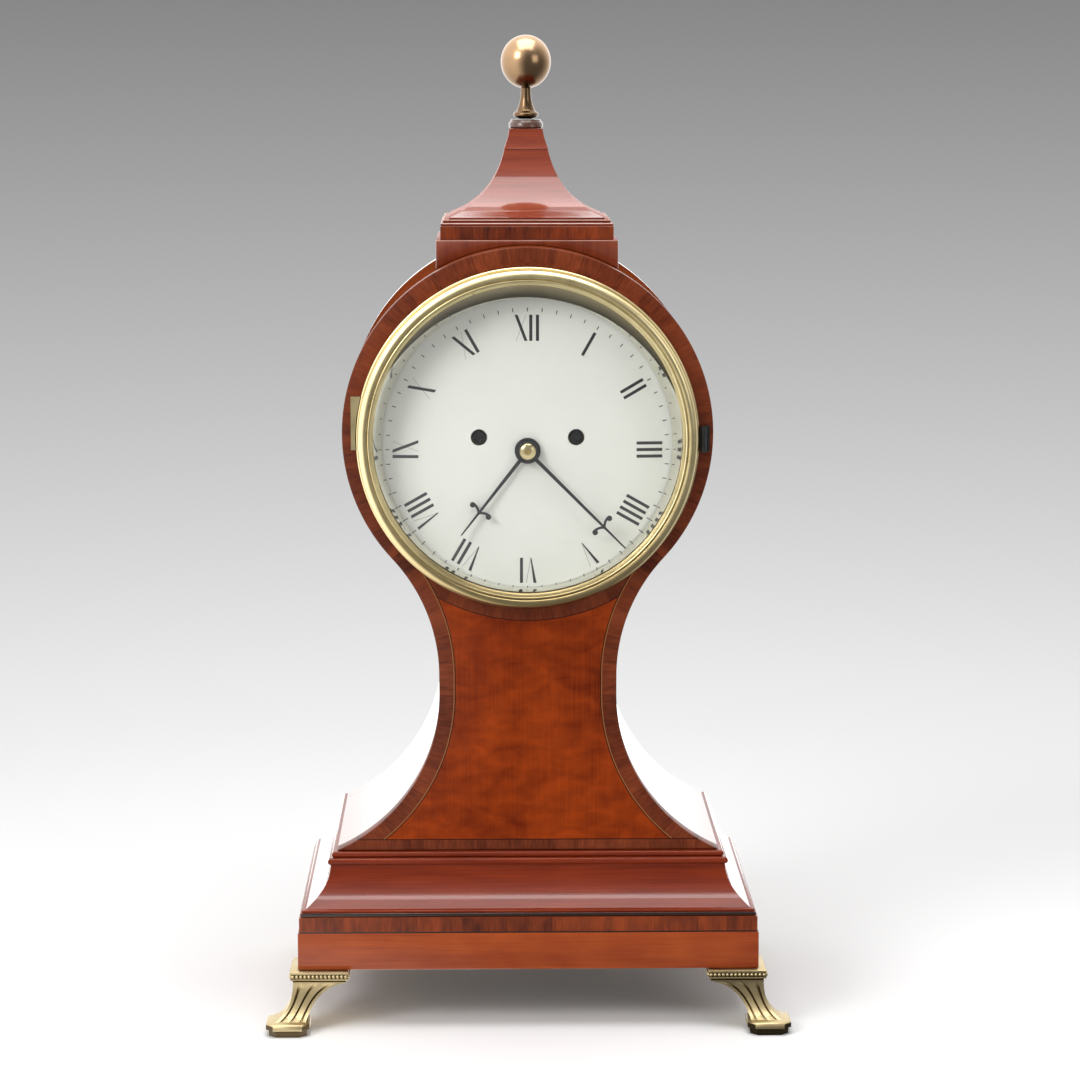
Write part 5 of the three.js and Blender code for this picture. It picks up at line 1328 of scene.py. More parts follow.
@dataclass
class Cap:
    """The stepped cap: a block on the arch, a banded frieze, a concave roof, a neck and the turned collar."""

    middle_y: float = CAP_Y
    block_half: float = 56.4
    arch: float = 114.7
    block_top: float = 488.24
    block_edge: float = 0.6
    # How far up the normal of an edge painted pale as a highlight points, from and to
    highlight_rise: Point = (0.2, 0.9)
    frieze_half: float = 53.6
    frieze_z: float = 488.54
    frieze_height: float = 8.0
    # Insets of the fillets' edges, and heights above the band
    fillets: tuple[Point, ...] = (
        (0.0, -0.2), (0.6, 0.0), (0.2, 0.5), (0.2, 1.5), (0.7, 2.0), (2.0, 2.1), (2.0, 2.7), (1.6, 3.0),
        (1.6, 3.6), (2.2, 4.0),
    )  # fmt: skip
    roof_half: float = 47.5
    roof_z: float = 500.84
    eave: float = 0.8
    eave_top: float = 1.2
    # Half the width, and the height, of the point that pulls the roof's curve inwards
    roof_pull: Point = (20.72, 512.6)
    roof_gap: float = 0.3
    roof_steps: int = 32
    neck_half: float = 13.6
    neck_z: float = 543.14
    # How far the neck's lip stands out, and how high it is
    neck_lip: Point = (0.3, 0.6)
    neck_bow: float = 1.4
    neck_steps: int = 8
    neck_top_half: float = 10.4
    neck_top: float = 555.64
    collar: float = 10.8
    collar_z: float = 555.94
    # Insets of the collar's edges, and heights above its foot
    collar_line: tuple[Point, ...] = ((0.8, 0.0), (0.0, 0.8), (0.0, 3.025), (0.9, 4.125), (1.5, 5.5))

    def build(self) -> None:
        """Makes every piece of the cap."""
        self.build_block()
        self.build_frieze()
        self.build_roof()
        self.build_neck()
        self.build_collar()

    def square(self, half: float, z: float) -> list[Vector]:
        """Gives a level square on the cap's middle.

        Args:
            half: half its side.
            z: its height.

        Returns:
            Its corners.
        """
        return rectangle(half, self.middle_y - half, self.middle_y + half, z)

    def build_block(self) -> None:
        """Makes the block that is hollowed to sit on the arch."""
        work = Workpiece("cap_block_body")
        half = self.block_half
        foot_z = BALLOON.head_z + math.sqrt(self.arch**2 - half**2)
        start = work.bm.verts.new((-half, 0, foot_z))
        turn = 2 * math.asin(half / self.arch)
        end = work.turn([start], (0, 0, BALLOON.head_z), turn, steps=48)
        raised = bmesh.ops.extrude_vert_indiv(work.bm, verts=[start, *end])["verts"]
        bmesh.ops.translate(work.bm, verts=raised, vec=(0, 0, self.block_top - foot_z))
        work.bm.edges.new(raised)
        work.board(self.middle_y - half, self.middle_y + half)
        work.soften(self.block_edge, lambda e: all(v.co.z > foot_z - TOUCH for v in e.verts))
        low, high = self.highlight_rise
        work.paint(1, lambda c, n: n.z > high)
        # Edges that slope between level and upright take a painted highlight
        work.paint(2, lambda c, n: low < n.z < high)
        work.done("case", [FIGURED, DULLED, PAINTED_EDGE_HIGHLIGHT], ["cap_block"])

    def build_frieze(self) -> None:
        """Makes the crossbanded frieze with its two thin fillets."""
        work = Workpiece("frieze")
        band_top = self.frieze_z + self.frieze_height
        loops = [self.square(self.frieze_half, self.frieze_z)]
        loops += [self.square(self.frieze_half - inset, band_top + rise) for inset, rise in self.fillets]
        work.loft(loops)
        foot, low = band_top + self.fillets[0][1], self.highlight_rise[0]
        work.paint(1, lambda c, n: c.z > band_top)
        # Sloping faces of the fillets take a painted highlight
        work.paint(2, lambda c, n: c.z > foot and low < n.z < LEVEL)
        work.paint(3, lambda c, n: n.z > LEVEL)
        work.done("case", [CROSSBAND, ROOF_VENEER, PAINTED_EDGE_HIGHLIGHT, DULLED], ["cap_frieze"])

    def build_roof(self) -> None:
        """Makes the concave roof."""
        work = Workpiece("pagoda_roof")
        wide, neck = self.roof_half + self.eave, (self.neck_half, self.neck_z - self.roof_gap)
        loops = [self.square(wide, self.roof_z + rise) for rise in (0, self.eave)]
        line = ((self.roof_half, self.roof_z + self.eave_top), self.roof_pull, neck)
        loops += [self.square(*bend(line, s)) for s in shares(self.roof_steps)]
        self.finish_roof(work, loops, "cap_pagoda")

    def build_neck(self) -> None:
        """Makes the tapering neck."""
        work = Workpiece("neck")
        out, up = self.neck_lip
        low, wider = self.neck_z + up, self.neck_half - self.neck_top_half
        loops = [self.square(self.neck_half + out, self.neck_z)]
        for s in shares(self.neck_steps):
            half = self.neck_top_half + wider * (1 - s) ** self.neck_bow
            loops.append(self.square(half, low + (self.neck_top - low) * s))
        self.finish_roof(work, loops, "cap_neck")

    def finish_roof(self, work: Workpiece, loops: list[list[Vector]], node: str) -> None:
        """Skins the roof or the neck, polished at its front and back and dulled elsewhere.

        Args:
            work: the piece in the making.
            loops: its level sections from the foot up.
            node: the CAD node that it is shown in place of.
        """
        work.loft(loops)
        work.paint(1, lambda c, n: abs(n.x) > abs(n.y) or n.z > LEVEL)
        work.done("case", [ROOF_VENEER, DULLED], [node])

    def build_collar(self) -> None:
        """Makes the turned wooden collar under the finial."""
        work = Workpiece("collar")
        profile = [(self.collar - inset, self.collar_z + rise) for inset, rise in self.collar_line]
        profile = [(0, profile[0][1]), *profile, (0, profile[-1][1])]
        work.lathe(profile, Axis.HEIGHT, (0, self.middle_y, 0), steps=64, closed=False)
        work.done("case", [DARK_WOOD], ["finial_collar"])


@dataclass
class Finial:
    """The gilt finial: a bulb, a stem and an egg-shaped ball."""

    middle_y: float = CAP_Y
    foot_z: float = 561.74
    foot: float = 8.0
    foot_share: float = 0.8
    bulb: float = 5.6
    # Where the bulb's arc starts and how far it runs, as shares of a half turn
    bulb_turn: Point = (0.12, 0.62)
    bulb_bow: float = 0.8
    bulb_steps: int = 8
    stem: float = 3.2
    stem_height: float = 19.0
    stem_bow: float = 2.6
    stem_steps: int = 12
    ball: float = 15.8
    ball_height: float = 33.5
    ball_steps: int = 32

    def build(self) -> None:
        """Makes the finial."""
        work = Workpiece("finial_gilt")
        profile: list[Point] = [(0, self.foot_z), (self.foot * self.foot_share, self.foot_z)]
        first, sweep = self.bulb_turn
        for s in shares(self.bulb_steps):
            a = math.pi * (first + sweep * s)
            rise = self.bulb * (1 - math.cos(a)) / 2
            profile.append((self.foot * math.sin(a) ** self.bulb_bow, self.foot_z + rise))
        low_r, low_z = profile[-1]
        half = self.ball_height / 2
        ball_z = self.foot_z + self.stem_height + half
        start = math.asin(self.stem / self.ball)
        stem_top = ball_z - half * math.cos(start)
        for s in shares(self.stem_steps)[1:]:
            radius = self.stem + (low_r - self.stem) * (1 - s) ** self.stem_bow
            profile.append((radius, low_z + (stem_top - low_z) * s))
        for s in shares(self.ball_steps)[1:-1]:
            a = start + (math.pi - start) * s
            profile.append((self.ball * math.sin(a), ball_z - half * math.cos(a)))
        profile.append((0, ball_z + half))
        work.lathe(profile, Axis.HEIGHT, (0, self.middle_y, 0), steps=64, closed=False)
        work.done("case", [GILT], ["finial"])


@dataclass
class Foot:
    """A cast foot: a beaded plate over mouldings, a square fluted leg that splays outwards, and a toe."""

    toe_x: float
    toe_y: float
    plate_x: float = 130.1
    plate_y: float = 82.6
    plate_half: float = 19.0
    plate_top: float = 37.7
    # Insets of the mouldings' edges, and how far they lie below the plate's top
    mouldings: tuple[Point, ...] = (
        (1.5, 0.0), (1.1, 0.3), (1.1, 1.5), (1.9, 1.7), (1.9, 4.1), (1.0, 4.3), (0.8, 4.7), (1.0, 5.1),
        (2.2, 5.5), (2.9, 6.3), (2.4, 6.6), (2.4, 7.1), (3.0, 7.4),
    )  # fmt: skip
    bead: float = 1.25
    bead_drop: float = 2.9
    # Curves of the leg, as distance outwards from the plate's middle and height
    outer_line: Curve = ((16.4, 30.5), (16.6, 13.0), (28.0, 8.0))
    inner_line: Curve = ((-15.5, 30.5), (1.6, 27.5), (8.2, 8.0))
    levels: int = 20
    flutes: int = 3
    flute_depth: float = 1.3
    # Where a flute starts and ends across its strip, and how soon it runs out above and below
    flute_share: Point = (0.36, 0.64)
    flute_ends: Point = (0.22, 0.04)
    flute_steps: int = 6
    toe_half: float = 13.5
    # Insets of the toe's edges, and heights
    toe_line: tuple[Point, ...] = (
        (1.6, 8.5), (0.5, 8.1), (0.0, 7.4), (0.0, 4.5), (0.4, 4.2), (1.5, 3.9), (1.9, 0.0),
    )  # fmt: skip
    toe_lip: float = 4.2
    chamfer: float = 4.5
    # Painted shade: faces that point up less are painted dark under the lip, and where they turn more to a
    # corner
    dark_rise: float = 0.3
    dark_corner: float = 0.5

    def build(self, name: str, node: str, x: int, y: int) -> None:
        """Makes the foot at the front right, and mirrors it to its own corner.

        Args:
            name: what the piece is called.
            node: the CAD node that it is shown in place of.
            x: -1 for the left and 1 for the right.
            y: -1 for the front and 1 for the rear.
        """
        work = Workpiece(name)
        self.build_toe(work)
        self.build_leg(work)
        self.build_plate(work)
        bmesh.ops.scale(work.bm, verts=work.bm.verts[:], vec=(x, -y, 1))
        work.done("case", [FOOT_BRASS, SHADED_TOE_BRASS], [node], smooth=38)

    def build_plate(self, work: Workpiece) -> None:
        """Adds the top plate with its mouldings and a row of beads.

        Args:
            work: the foot in the making.
        """
        middle = Vector((self.plate_x, -self.plate_y, self.plate_top))
        loops = []
        for inset, drop in self.mouldings:
            half = self.plate_half - inset
            loops.append([middle + p for p in rectangle(half, -half, half, -drop)])
        work.loft(loops)
        row = self.plate_half - self.bead
        count = int(row / self.bead)
        for i in range(count):
            along = ((2 * i + 1) / count - 1) * row
            for x, y in ((along, -row), (along, row), (-row, along), (row, along)):
                spot = Matrix.Translation(middle + Vector((x, y, -self.bead_drop)))
                bmesh.ops.create_icosphere(work.bm, subdivisions=2, radius=self.bead, matrix=spot)

    def build_leg(self, work: Workpiece) -> None:
        """Adds the leg: square, curving outwards, with narrow flutes down its two outer faces.

        Args:
            work: the foot in the making.
        """
        top, low = self.outer_line[0][1], self.outer_line[2][1]
        work.loft([self.section(top + (low - top) * s) for s in shares(self.levels)])

    def reach(self, line: Curve, z: float) -> float:
        """Finds where a curved edge of the leg is at a height.

        Args:
            line: the three points of the curve, as distance outwards and height.
            z: the height.

        Returns:
            The distance outwards from the plate's middle.
        """
        z0, z1, z2 = (height for _, height in line)
        a, b, c = z0 - 2 * z1 + z2, 2 * (z1 - z0), z0 - z
        share = (-b - math.sqrt(max(0.0, b * b - 4 * a * c))) / (2 * a)
        return bend(line, share)[0]

    def section(self, z: float) -> list[Vector]:
        """Gives a level section of the leg.

        Args:
            z: its height.

        Returns:
            Its points, in turn, with the flutes in the front and the outer face.
        """
        out, inn = self.reach(self.outer_line, z), self.reach(self.inner_line, z)
        (start, top), _, (end, low) = self.outer_line
        splay = (out - start) / (end - start)
        back = splay * ((self.toe_y - self.plate_y) - (self.toe_x - self.plate_x))
        corners = [Vector((x, y, z)) for x, y in ((inn - back, -out), (out - back, -out), (out - back, -inn))]
        share = (top - z) / (top - low)
        above, below = self.flute_ends
        deep = self.flute_depth * max(0.0, min(1.0, share / above, (1 - share) / below))
        points = [corners[0]]
        for a, b, inward in zip(corners, corners[1:], (Vector((0, 1, 0)), Vector((-1, 0, 0)))):
            points += self.flute(a, b, inward * deep) + [b]
        points.append(Vector((inn - back, -inn, z)))
        return [p + Vector((self.plate_x, -self.plate_y, 0)) for p in points]

    def flute(self, a: Vector, b: Vector, deep: Vector) -> list[Vector]:
        """Hollows the flutes in one side of a section.

        Args:
            a: where the side starts.
            b: where it ends.
            deep: which way and how far the flutes go in.

        Returns:
            The points between its ends.
        """
        first, last = self.flute_share
        points = []
        for k in range(self.flutes):
            for across in shares(self.flute_steps):
                share = (k + first + (last - first) * across) / self.flutes
                points.append(a.lerp(b, share) + deep * math.sin(math.pi * across))
        return points

    def build_toe(self, work: Workpiece) -> None:
        """Adds the toe: a square pad with cut corners over a smaller foot, the foot and the cut corners
        painted dark as shade.

        Args:
            work: the foot in the making.
        """
        loops = []
        for inset, z in self.toe_line:
            half = self.toe_half - inset
            flat = half - self.chamfer
            spots = [(half, -flat), (half, flat), (flat, half), (-flat, half)]
            spots += [(-x, -y) for x, y in spots]
            loops.append([Vector((self.toe_x + x, -self.toe_y + y, z)) for x, y in spots])
        work.loft(loops)
        rise, turn = self.dark_rise, self.dark_corner
        # Painted shade on the cut corners and under the lip
        work.paint(1, lambda c, n: n.z < rise and (c.z < self.toe_lip or min(abs(n.x), abs(n.y)) > turn))


@dataclass
class Feet:
    """The four feet. The rear ones splay less to the sides."""

    front_toe_x: float = 149.3
    rear_toe_x: float = 137.0
    toe_y: float = 101.8

    def build(self) -> None:
        """Makes the four feet."""
        for x, side in ((1, "right"), (-1, "left")):
            for y, end, toe_x in ((-1, "front", self.front_toe_x), (1, "rear", self.rear_toe_x)):
                foot = Foot(toe_x, self.toe_y)
                foot.build(f"brass_foot_{end}_{side}", f"foot_{end}_{side}", x, y)


@dataclass(frozen=True)
class Reed:
    """Part of a round reed: its middle, its radius, and its arc in degrees from outwards to the front."""

    r: float
    y: float
    radius: float
    start: float
    end: float
    steps: int = 8

    def points(self) -> list[Point]:
        """Draws the arc.

        Returns:
            Points as distance from the bezel's axis and place in depth.
        """
        turns = [math.radians(self.start + (self.end - self.start) * s) for s in shares(self.steps)]
        return [(self.r + self.radius * math.cos(a), self.y - self.radius * math.sin(a)) for a in turns]


@dataclass
class BezelDoor:
    """The hinged bezel with its glass, and the brass ring that lines the dial opening.

    Points of the sections are distances from the bezel's axis, and places in depth.
    """

    centre_z: float = BALLOON.bezel_z
    back_y: float = -72.3
    rebate: float = 97.3
    outer: float = 105.8
    edge: float = 0.3
    outer_reed: Reed = Reed(104.6, -73.6, 1.2, start=-40.0, end=150.0)
    step: tuple[Point, ...] = ((103.55, -74.9), (103.45, -77.7), (103.9, -78.3), (104.2, -79.1))
    main_reed: Reed = Reed(100.6, -81.1, 3.6, start=4.0, end=98.0, steps=14)
    groove: tuple[Point, ...] = ((99.3, -84.45), (98.75, -83.75))
    inner_reed: Reed = Reed(97.75, -83.1, 0.95, start=30.0, end=150.0)
    lip: tuple[Point, ...] = ((96.6, -82.4), (96.3, -81.7), (95.6, -80.9), (95.1, -80.3))
    inner: float = 95.1
    seat_y: float = -79.57
    glass: float = 97.0
    glass_back: float = -76.3
    glass_thickness: float = 2.5
    glass_steps: int = 40
    dome: float = 12.0
    ring_front: Point = (95.1, -72.0)
    # How far the ring's front edge is broken, inwards and in depth
    ring_edge: Point = (0.4, 0.6)
    ring_back: Point = (89.8, -60.0)
    ring_bow: float = 1.2
    ring_foot: float = 1.2
    ring_steps: int = 4
    ring_outer: float = 97.0
    ring_drop: float = 4.2
    hinge_x: float = 108.0
    hinge_y: float = -75.7
    knuckle: float = 1.9
    knuckle_half: float = 5.0
    # The hinge leaf: how far it reaches inside the rim, and its front and back from the bezel's back
    leaf: Triple = (1.5, 1.9, 0.7)

    def build(self) -> None:
        """Makes the bezel, the glass and the ring."""
        self.build_bezel()
        self.build_glass()
        self.build_ring()

    def build_bezel(self) -> None:
        """Makes the reeded ring with its hinge knuckle."""
        work = Workpiece("bezel_ring")
        profile = [(self.rebate, self.back_y), (self.outer - self.edge, self.back_y)]
        profile += [*self.outer_reed.points(), *self.step, *self.main_reed.points(), *self.groove]
        profile += [*self.inner_reed.points(), *self.lip]
        profile += [(self.inner, self.seat_y), (self.rebate, self.seat_y)]
        work.lathe(profile, Axis.DEPTH, (0, 0, self.centre_z), steps=256)
        r, half = self.knuckle, self.knuckle_half
        pin = (self.hinge_x, self.hinge_y, self.centre_z)
        work.lathe([(0, -half), (r, -half), (r, half), (0, half)], Axis.HEIGHT, pin, steps=24, closed=False)
        inset, front, back = self.leaf
        low = (self.outer - inset, self.back_y - front, self.centre_z - half)
        work.block(low, (self.hinge_x, self.back_y - back, self.centre_z + half))
        work.paint(1, lambda c, n: c.x > self.outer)
        work.done("bezel_door", [BRASS, BLACKING], ["bezel"], smooth=32)

    def build_glass(self) -> None:
        """Makes the domed glass."""
        work = Workpiece("domed_glass")
        bulge = [(s, self.dome * (1 - s * s)) for s in shares(self.glass_steps)]
        back = [(self.glass * s, self.glass_back - forward) for s, forward in bulge]
        front = [(r, y - self.glass_thickness) for r, y in back]
        work.lathe(front + back[::-1], Axis.DEPTH, (0, 0, self.centre_z), steps=192, closed=False)
        work.done("bezel_door", [GLASS], ["glass"])

    def build_ring(self) -> None:
        """Makes the ring between bezel and dial."""
        work = Workpiece("sight_ring_lining")
        (r0, y0), (r1, y1) = self.ring_front, self.ring_back
        r, y = r0 - self.ring_edge[0], y0 + self.ring_edge[1]
        profile = [(self.ring_outer, y0), (r0, y0)]
        for s in shares(self.ring_steps):
            profile.append((r + (r1 - r) * s, y + (y1 - y) * s**self.ring_bow))
        profile += [(r1 + self.ring_foot, y1), (self.ring_outer, y1)]
        work.lathe(profile, Axis.DEPTH, (0, 0, self.centre_z), steps=192)
        for v in work.bm.verts:
            if math.hypot(v.co.x, v.co.z - self.centre_z) < self.ring_outer - TOUCH:
                v.co.z -= self.ring_drop * (v.co.y - y0) / (y1 - y0)
        work.done("case", [RING_BRASS], ["sight_ring"])


@dataclass
class Dial:
    """The domed dial with its winding holes, numerals and minute marks."""

    centre_z: float = HAND_Z
    radius: float = 99.8
    rim_y: float = -57.73
    dome: float = 6.0
    thickness: float = 1.6
    plate_steps: int = 32
    hole: float = 6.0
    drill: float = 40.0
    winding: float = 5.1
    # Numerals: their inner and outer ends, their strokes' widths, and the space beside a slanting stroke
    numeral: Point = (67.4, 83.4)
    stroke: float = 1.9
    point: float = 0.6
    hair: float = 0.16
    slant: Point = (1.2, 0.9)
    # Minute marks: where they lie, their length and width
    tick_radius: float = 86.6
    tick: Point = (2.4, 0.55)
    lift: float = 0.05
    ink: float = 0.06
    numerals: dict[int, str] = field(
        default_factory=lambda: {
            1: "I", 2: "II", 3: "III", 4: "IIII", 5: "V", 6: "VI",
            7: "VII", 8: "VIII", 9: "IX", 10: "X", 11: "XI", 12: "XII",
        }
    )  # fmt: skip
    letter_width: dict[str, float] = field(default_factory=lambda: {"I": 4.1, "V": 7.6, "X": 8.2})

    def build(self) -> None:
        """Makes the dial and its marks."""
        self.build_plate()
        self.build_marks()

    def surface(self, r: float) -> float:
        """Gives the dial's front.

        Args:
            r: distance from the hand centre.

        Returns:
            The y of the dial's front there.
        """
        return self.rim_y - self.dome * (1 - (r / self.radius) ** 2)

    def build_plate(self) -> None:
        """Makes the domed plate and drills it."""
        work = Workpiece("dial_plate")
        wide = self.radius - self.hole
        radii = [self.hole + wide * s for s in shares(self.plate_steps)]
        front = [(r, self.surface(r)) for r in radii]
        back = [(r, y + self.thickness) for r, y in front]
        work.lathe(front + back[::-1], Axis.DEPTH, (0, 0, self.centre_z), steps=192)
        plate = work.done("case", [ENAMEL], ["dial"])
        drill = Workpiece("drill")
        x, up = WINDING
        for side in (-1, 1):
            spot = Vector((side * x, self.rim_y, self.centre_z + up))
            drill.disc(spot, self.winding, self.drill, steps=48)
        tool = bpy.data.objects.new("drill", drill.mesh())
        bpy.context.scene.collection.objects.link(tool)
        cut = plate.modifiers.new("winding_holes", "BOOLEAN")
        cut.object, cut.operation, cut.solver = tool, "DIFFERENCE", "EXACT"
        drilled = plate.evaluated_get(bpy.context.evaluated_depsgraph_get())
        shaped = bpy.data.meshes.new_from_object(drilled)
        plate.modifiers.clear()
        plate.data = shaped
        bpy.data.objects.remove(tool)

    def mark(self, work: Workpiece, ends: tuple[Point, Point], widths: Sequence[float], angle: float) -> None:
        """Lays one stroke of ink on the dome.

        Args:
            work: the marks in the making.
            ends: the stroke's ends, as places across and outwards at twelve o'clock.
            widths: its width at each end.
            angle: how far round the dial it lies, clockwise, in radians.
        """
        (x0, s0), (x1, s1) = ends
        made = bmesh.ops.create_grid(work.bm, x_segments=1, y_segments=6, size=0.5)["verts"]
        faces = list({f for v in made for f in v.link_faces})
        for v in made:
            share = v.co.y + 0.5
            across = x0 + (x1 - x0) * share + v.co.x * (widths[0] + (widths[1] - widths[0]) * share)
            out = s0 + (s1 - s0) * share
            x = across * math.cos(angle) + out * math.sin(angle)
            z = out * math.cos(angle) - across * math.sin(angle)
            v.co = (x, self.surface(math.hypot(x, z)) - self.lift, self.centre_z + z)
        work.thicken(faces, Vector((0, -self.ink, 0)))

    def build_marks(self) -> None:
        """Draws the numerals, read from the middle, and the sixty minute marks."""
        work = Workpiece("dial_marks")
        low, high = self.numeral
        for hour, text in self.numerals.items():
            angle = math.tau * hour / 12
            x = -sum(self.letter_width[c] for c in text) / 2
            for letter in text:
                wide = self.letter_width[letter]
                a, b, m = x + self.slant[0], x + wide - self.slant[1], x + wide / 2
                x += wide
                strokes = {
                    "I": [(m, m, self.stroke, self.stroke)],
                    "V": [(m, a, self.point, self.stroke), (m, b, self.hair, self.hair)],
                    "X": [(b, a, self.stroke, self.stroke), (a, b, self.hair, self.hair)],
                }
                for foot, head, *widths in strokes[letter]:
                    self.mark(work, ((foot, low), (head, high)), widths, angle)
        long, wide = self.tick
        ends = ((0, self.tick_radius - long / 2), (0, self.tick_radius + long / 2))
        for minute in range(60):
            self.mark(work, ends, (wide, wide), math.tau * minute / 60)
        work.done("case", [INK])


@dataclass(frozen=True)
class Hand:
    """One blackened hand: a boss, a tapering blade with two curls, and a fine tip."""

    name: str
    node: str
    body: str
    length: float
    curl: float
    boss: float
    bore: float
    angle: float
    front_y: float
    back_y: float
    centre_z: float = HAND_Z
    root: float = 2.3
    waist: float = 1.5
    tip: float = 0.8
    edge: float = 0.3
    # How far the blade runs into the boss, and its outer part into its inner one
    overlaps: Point = (0.6, 0.5)
    blade_inset: float = 0.15
    # A curl's end, along the hand and to the side
    reach: Point = (-2.8, 6.9)
    bow: float = 8.0
    arm_half: float = 0.75
    arm_inset: float = 0.2
    arm_steps: int = 8
    ball: float = 1.7
    # How far the ball lies inside and above its arm's end
    ball_shift: Point = (0.7, 0.9)
    ball_inset: float = 0.1

    def build(self) -> None:
        """Makes the hand, pointing up, then turns it to its hour."""
        work = Workpiece(self.name)
        thick = self.back_y - self.front_y
        rounded = [(self.boss - self.edge, 0), (self.boss, self.edge), (self.boss, thick)]
        work.lathe([(self.bore, 0), *rounded, (self.bore, thick)], Axis.DEPTH, (0, 0, 0), steps=64)
        low, high = self.overlaps
        self.blade(work, (self.boss - low, self.curl), (self.root, self.waist), thick)
        self.blade(work, (self.curl - high, self.length), (self.waist, self.tip), thick)
        for side in (-1, 1):
            self.add_curl(work, side, thick)
        turn = Matrix.Rotation(math.radians(self.angle), 4, "Y")
        place = Matrix.Translation((0, self.front_y, self.centre_z))
        bmesh.ops.transform(work.bm, matrix=place @ turn, verts=work.bm.verts[:])
        work.done(self.body, [BLACKING], [self.node])

    def blade(self, work: Workpiece, ends: Point, widths: Point, thick: float) -> None:
        """Adds a tapering bar along the hand.

        Args:
            work: the hand in the making.
            ends: where it starts and ends, from the hand's centre.
            widths: its width at each end.
            thick: the hand's thickness.
        """
        (low, high), (wide, narrow), inset = ends, widths, self.blade_inset
        for v in work.block((-wide / 2, inset, low), (wide / 2, thick - inset, high)):
            if v.co.z > (low + high) / 2:
                v.co.x *= narrow / wide

    def add_curl(self, work: Workpiece, side: int, thick: float) -> None:
        """Adds one curl: an arm that leans back from the blade, and the ball at its end.

        Args:
            work: the hand in the making.
            side: -1 for the left and 1 for the right.
            thick: the hand's thickness.
        """
        start = Vector((0, self.arm_inset, self.curl))
        end = Vector((side * self.reach[1], 0, self.reach[0]))
        half = end.length / 2
        square_on = Vector((end.z, 0, -end.x)).normalized() * side
        centre = start + end / 2 - square_on * math.sqrt(self.bow**2 - half**2)
        out = (start - centre).normalized() * self.arm_half
        pair = [work.bm.verts.new(start - out), work.bm.verts.new(start + out)]
        geom = [*pair, work.bm.edges.new(pair)]
        turn = 2 * math.asin(half / self.bow)
        to_end = Matrix.Rotation(turn, 3, "Y") @ (start - centre) + centre
        if (to_end - start - end).length >= half:
            turn = -turn
        before, axis = set(work.bm.faces), Axis.DEPTH.value
        bmesh.ops.spin(work.bm, geom=geom, cent=centre, axis=axis, angle=turn, steps=self.arm_steps)
        arm = [f for f in work.bm.faces if f not in before]
        work.thicken(arm, Vector((0, thick - 2 * self.arm_inset, 0)))
        inward, up = self.ball_shift
        middle = start + end + Vector((-side * inward, thick / 2 - self.arm_inset, up))
        work.disc(middle, self.ball, thick - 2 * self.ball_inset, steps=24)


@dataclass
class Hands:
    """Both hands and the brass collet that holds them."""

    centre_z: float = HAND_Z
    collet_back: float = -70.43
    # Radius of the collet's edges, and how far they stand before its back
    collet_line: tuple[Point, ...] = (
        (1.6, 0.0), (5.0, 0.0), (5.0, 0.5), (4.7, 0.8), (3.6, 1.5), (2.4, 1.8), (1.6, 1.8),
    )  # fmt: skip
    hour: Hand = Hand(
        "hour_pointer", "hour_hand", "hour_work",
        length=66.8, curl=49.2, boss=8.0, bore=4.4, angle=218.0, front_y=-66.93, back_y=-65.73,
    )  # fmt: skip
    minute: Hand = Hand(
        "minute_pointer", "minute_hand", "hands",
        length=85.5, curl=67.0, boss=6.3, bore=1.6, angle=135.0, front_y=-70.13, back_y=-68.93,
    )  # fmt: skip

    def build(self) -> None:
        """Makes the hands and the collet."""
        self.hour.build()
        self.minute.build()
        work = Workpiece("collet")
        profile = [(r, self.collet_back - forward) for r, forward in self.collet_line]
        work.lathe(profile, Axis.DEPTH, (0, 0, self.centre_z), steps=48)
        work.done("hands", [BRASS], ["hand_collet"])


@dataclass
class WindingSquares:
    """The steel ends of the two winding arbors, seen at the bottom of the dial's holes and painted dark as
    the shade there.
    """

    centre_z: float = HAND_Z + WINDING[1]
    x: float = WINDING[0]
    corner: float = 4.45
    front_y: float = -59.6
    back_y: float = -43.0
    edge: float = 0.5
    dimple: float = 1.3

    def build(self) -> None:
        """Makes a square for each train."""
        for x, body in ((self.x, "going_fusee"), (-self.x, "strike_fusee")):
            work = Workpiece(f"{body}_square")
            turn = Matrix.Rotation(math.pi / 4, 4, "Y")
            side = self.corner * math.sqrt(2)
            deep = self.back_y - self.front_y
            verts = work.block((-side / 2, 0, -side / 2), (side / 2, deep, side / 2))
            front = [f for v in verts for f in v.link_faces if all(w.co.y < TOUCH for w in f.verts)][:1]
            for inset, rise in ((self.edge, self.edge), (self.dimple, 0.0), (self.edge, -self.edge)):
                bmesh.ops.inset_individual(work.bm, faces=front, thickness=inset, depth=rise)
            place = Matrix.Translation((x, self.front_y + self.edge, self.centre_z))
            bmesh.ops.transform(work.bm, matrix=place @ turn, verts=work.bm.verts[:])
            work.done(body, [HOLE_SHADE_STEEL])


@dataclass
class CarriedOver:
    """CAD nodes whose shape is right as it is: they only get their real material."""

    looks: dict[str, Finish] = field(
        default_factory=lambda: {
            "brass": PLATE_BRASS,
            "steel": STEEL,
            "oak": OAK_BLOCK,
            "gut": GUT,
            "blackened": BLACKING,
            "mahogany": DOOR_BOARD,
        }
    )
    own: dict[str, Finish] = field(
        default_factory=lambda: {"bezel_catch": BRASS, "back_door_turn": BRASS, "base_bottom_board": DEAL}
    )

    def build(self) -> None:
        """Gives each CAD node that still shows its material."""
        slots = {s["node"]: s["material_slot"] for s in frame["record"]["subparts"]}
        for name, node in frame["nodes"].items():
            if node.hide_render:
                continue
            finish = self.own.get(name, self.looks[slots[name]])
            node.data.materials.clear()
            node.data.materials.append(finish.material())
            LOG.info("%s: CAD node in %s", name, finish.name)


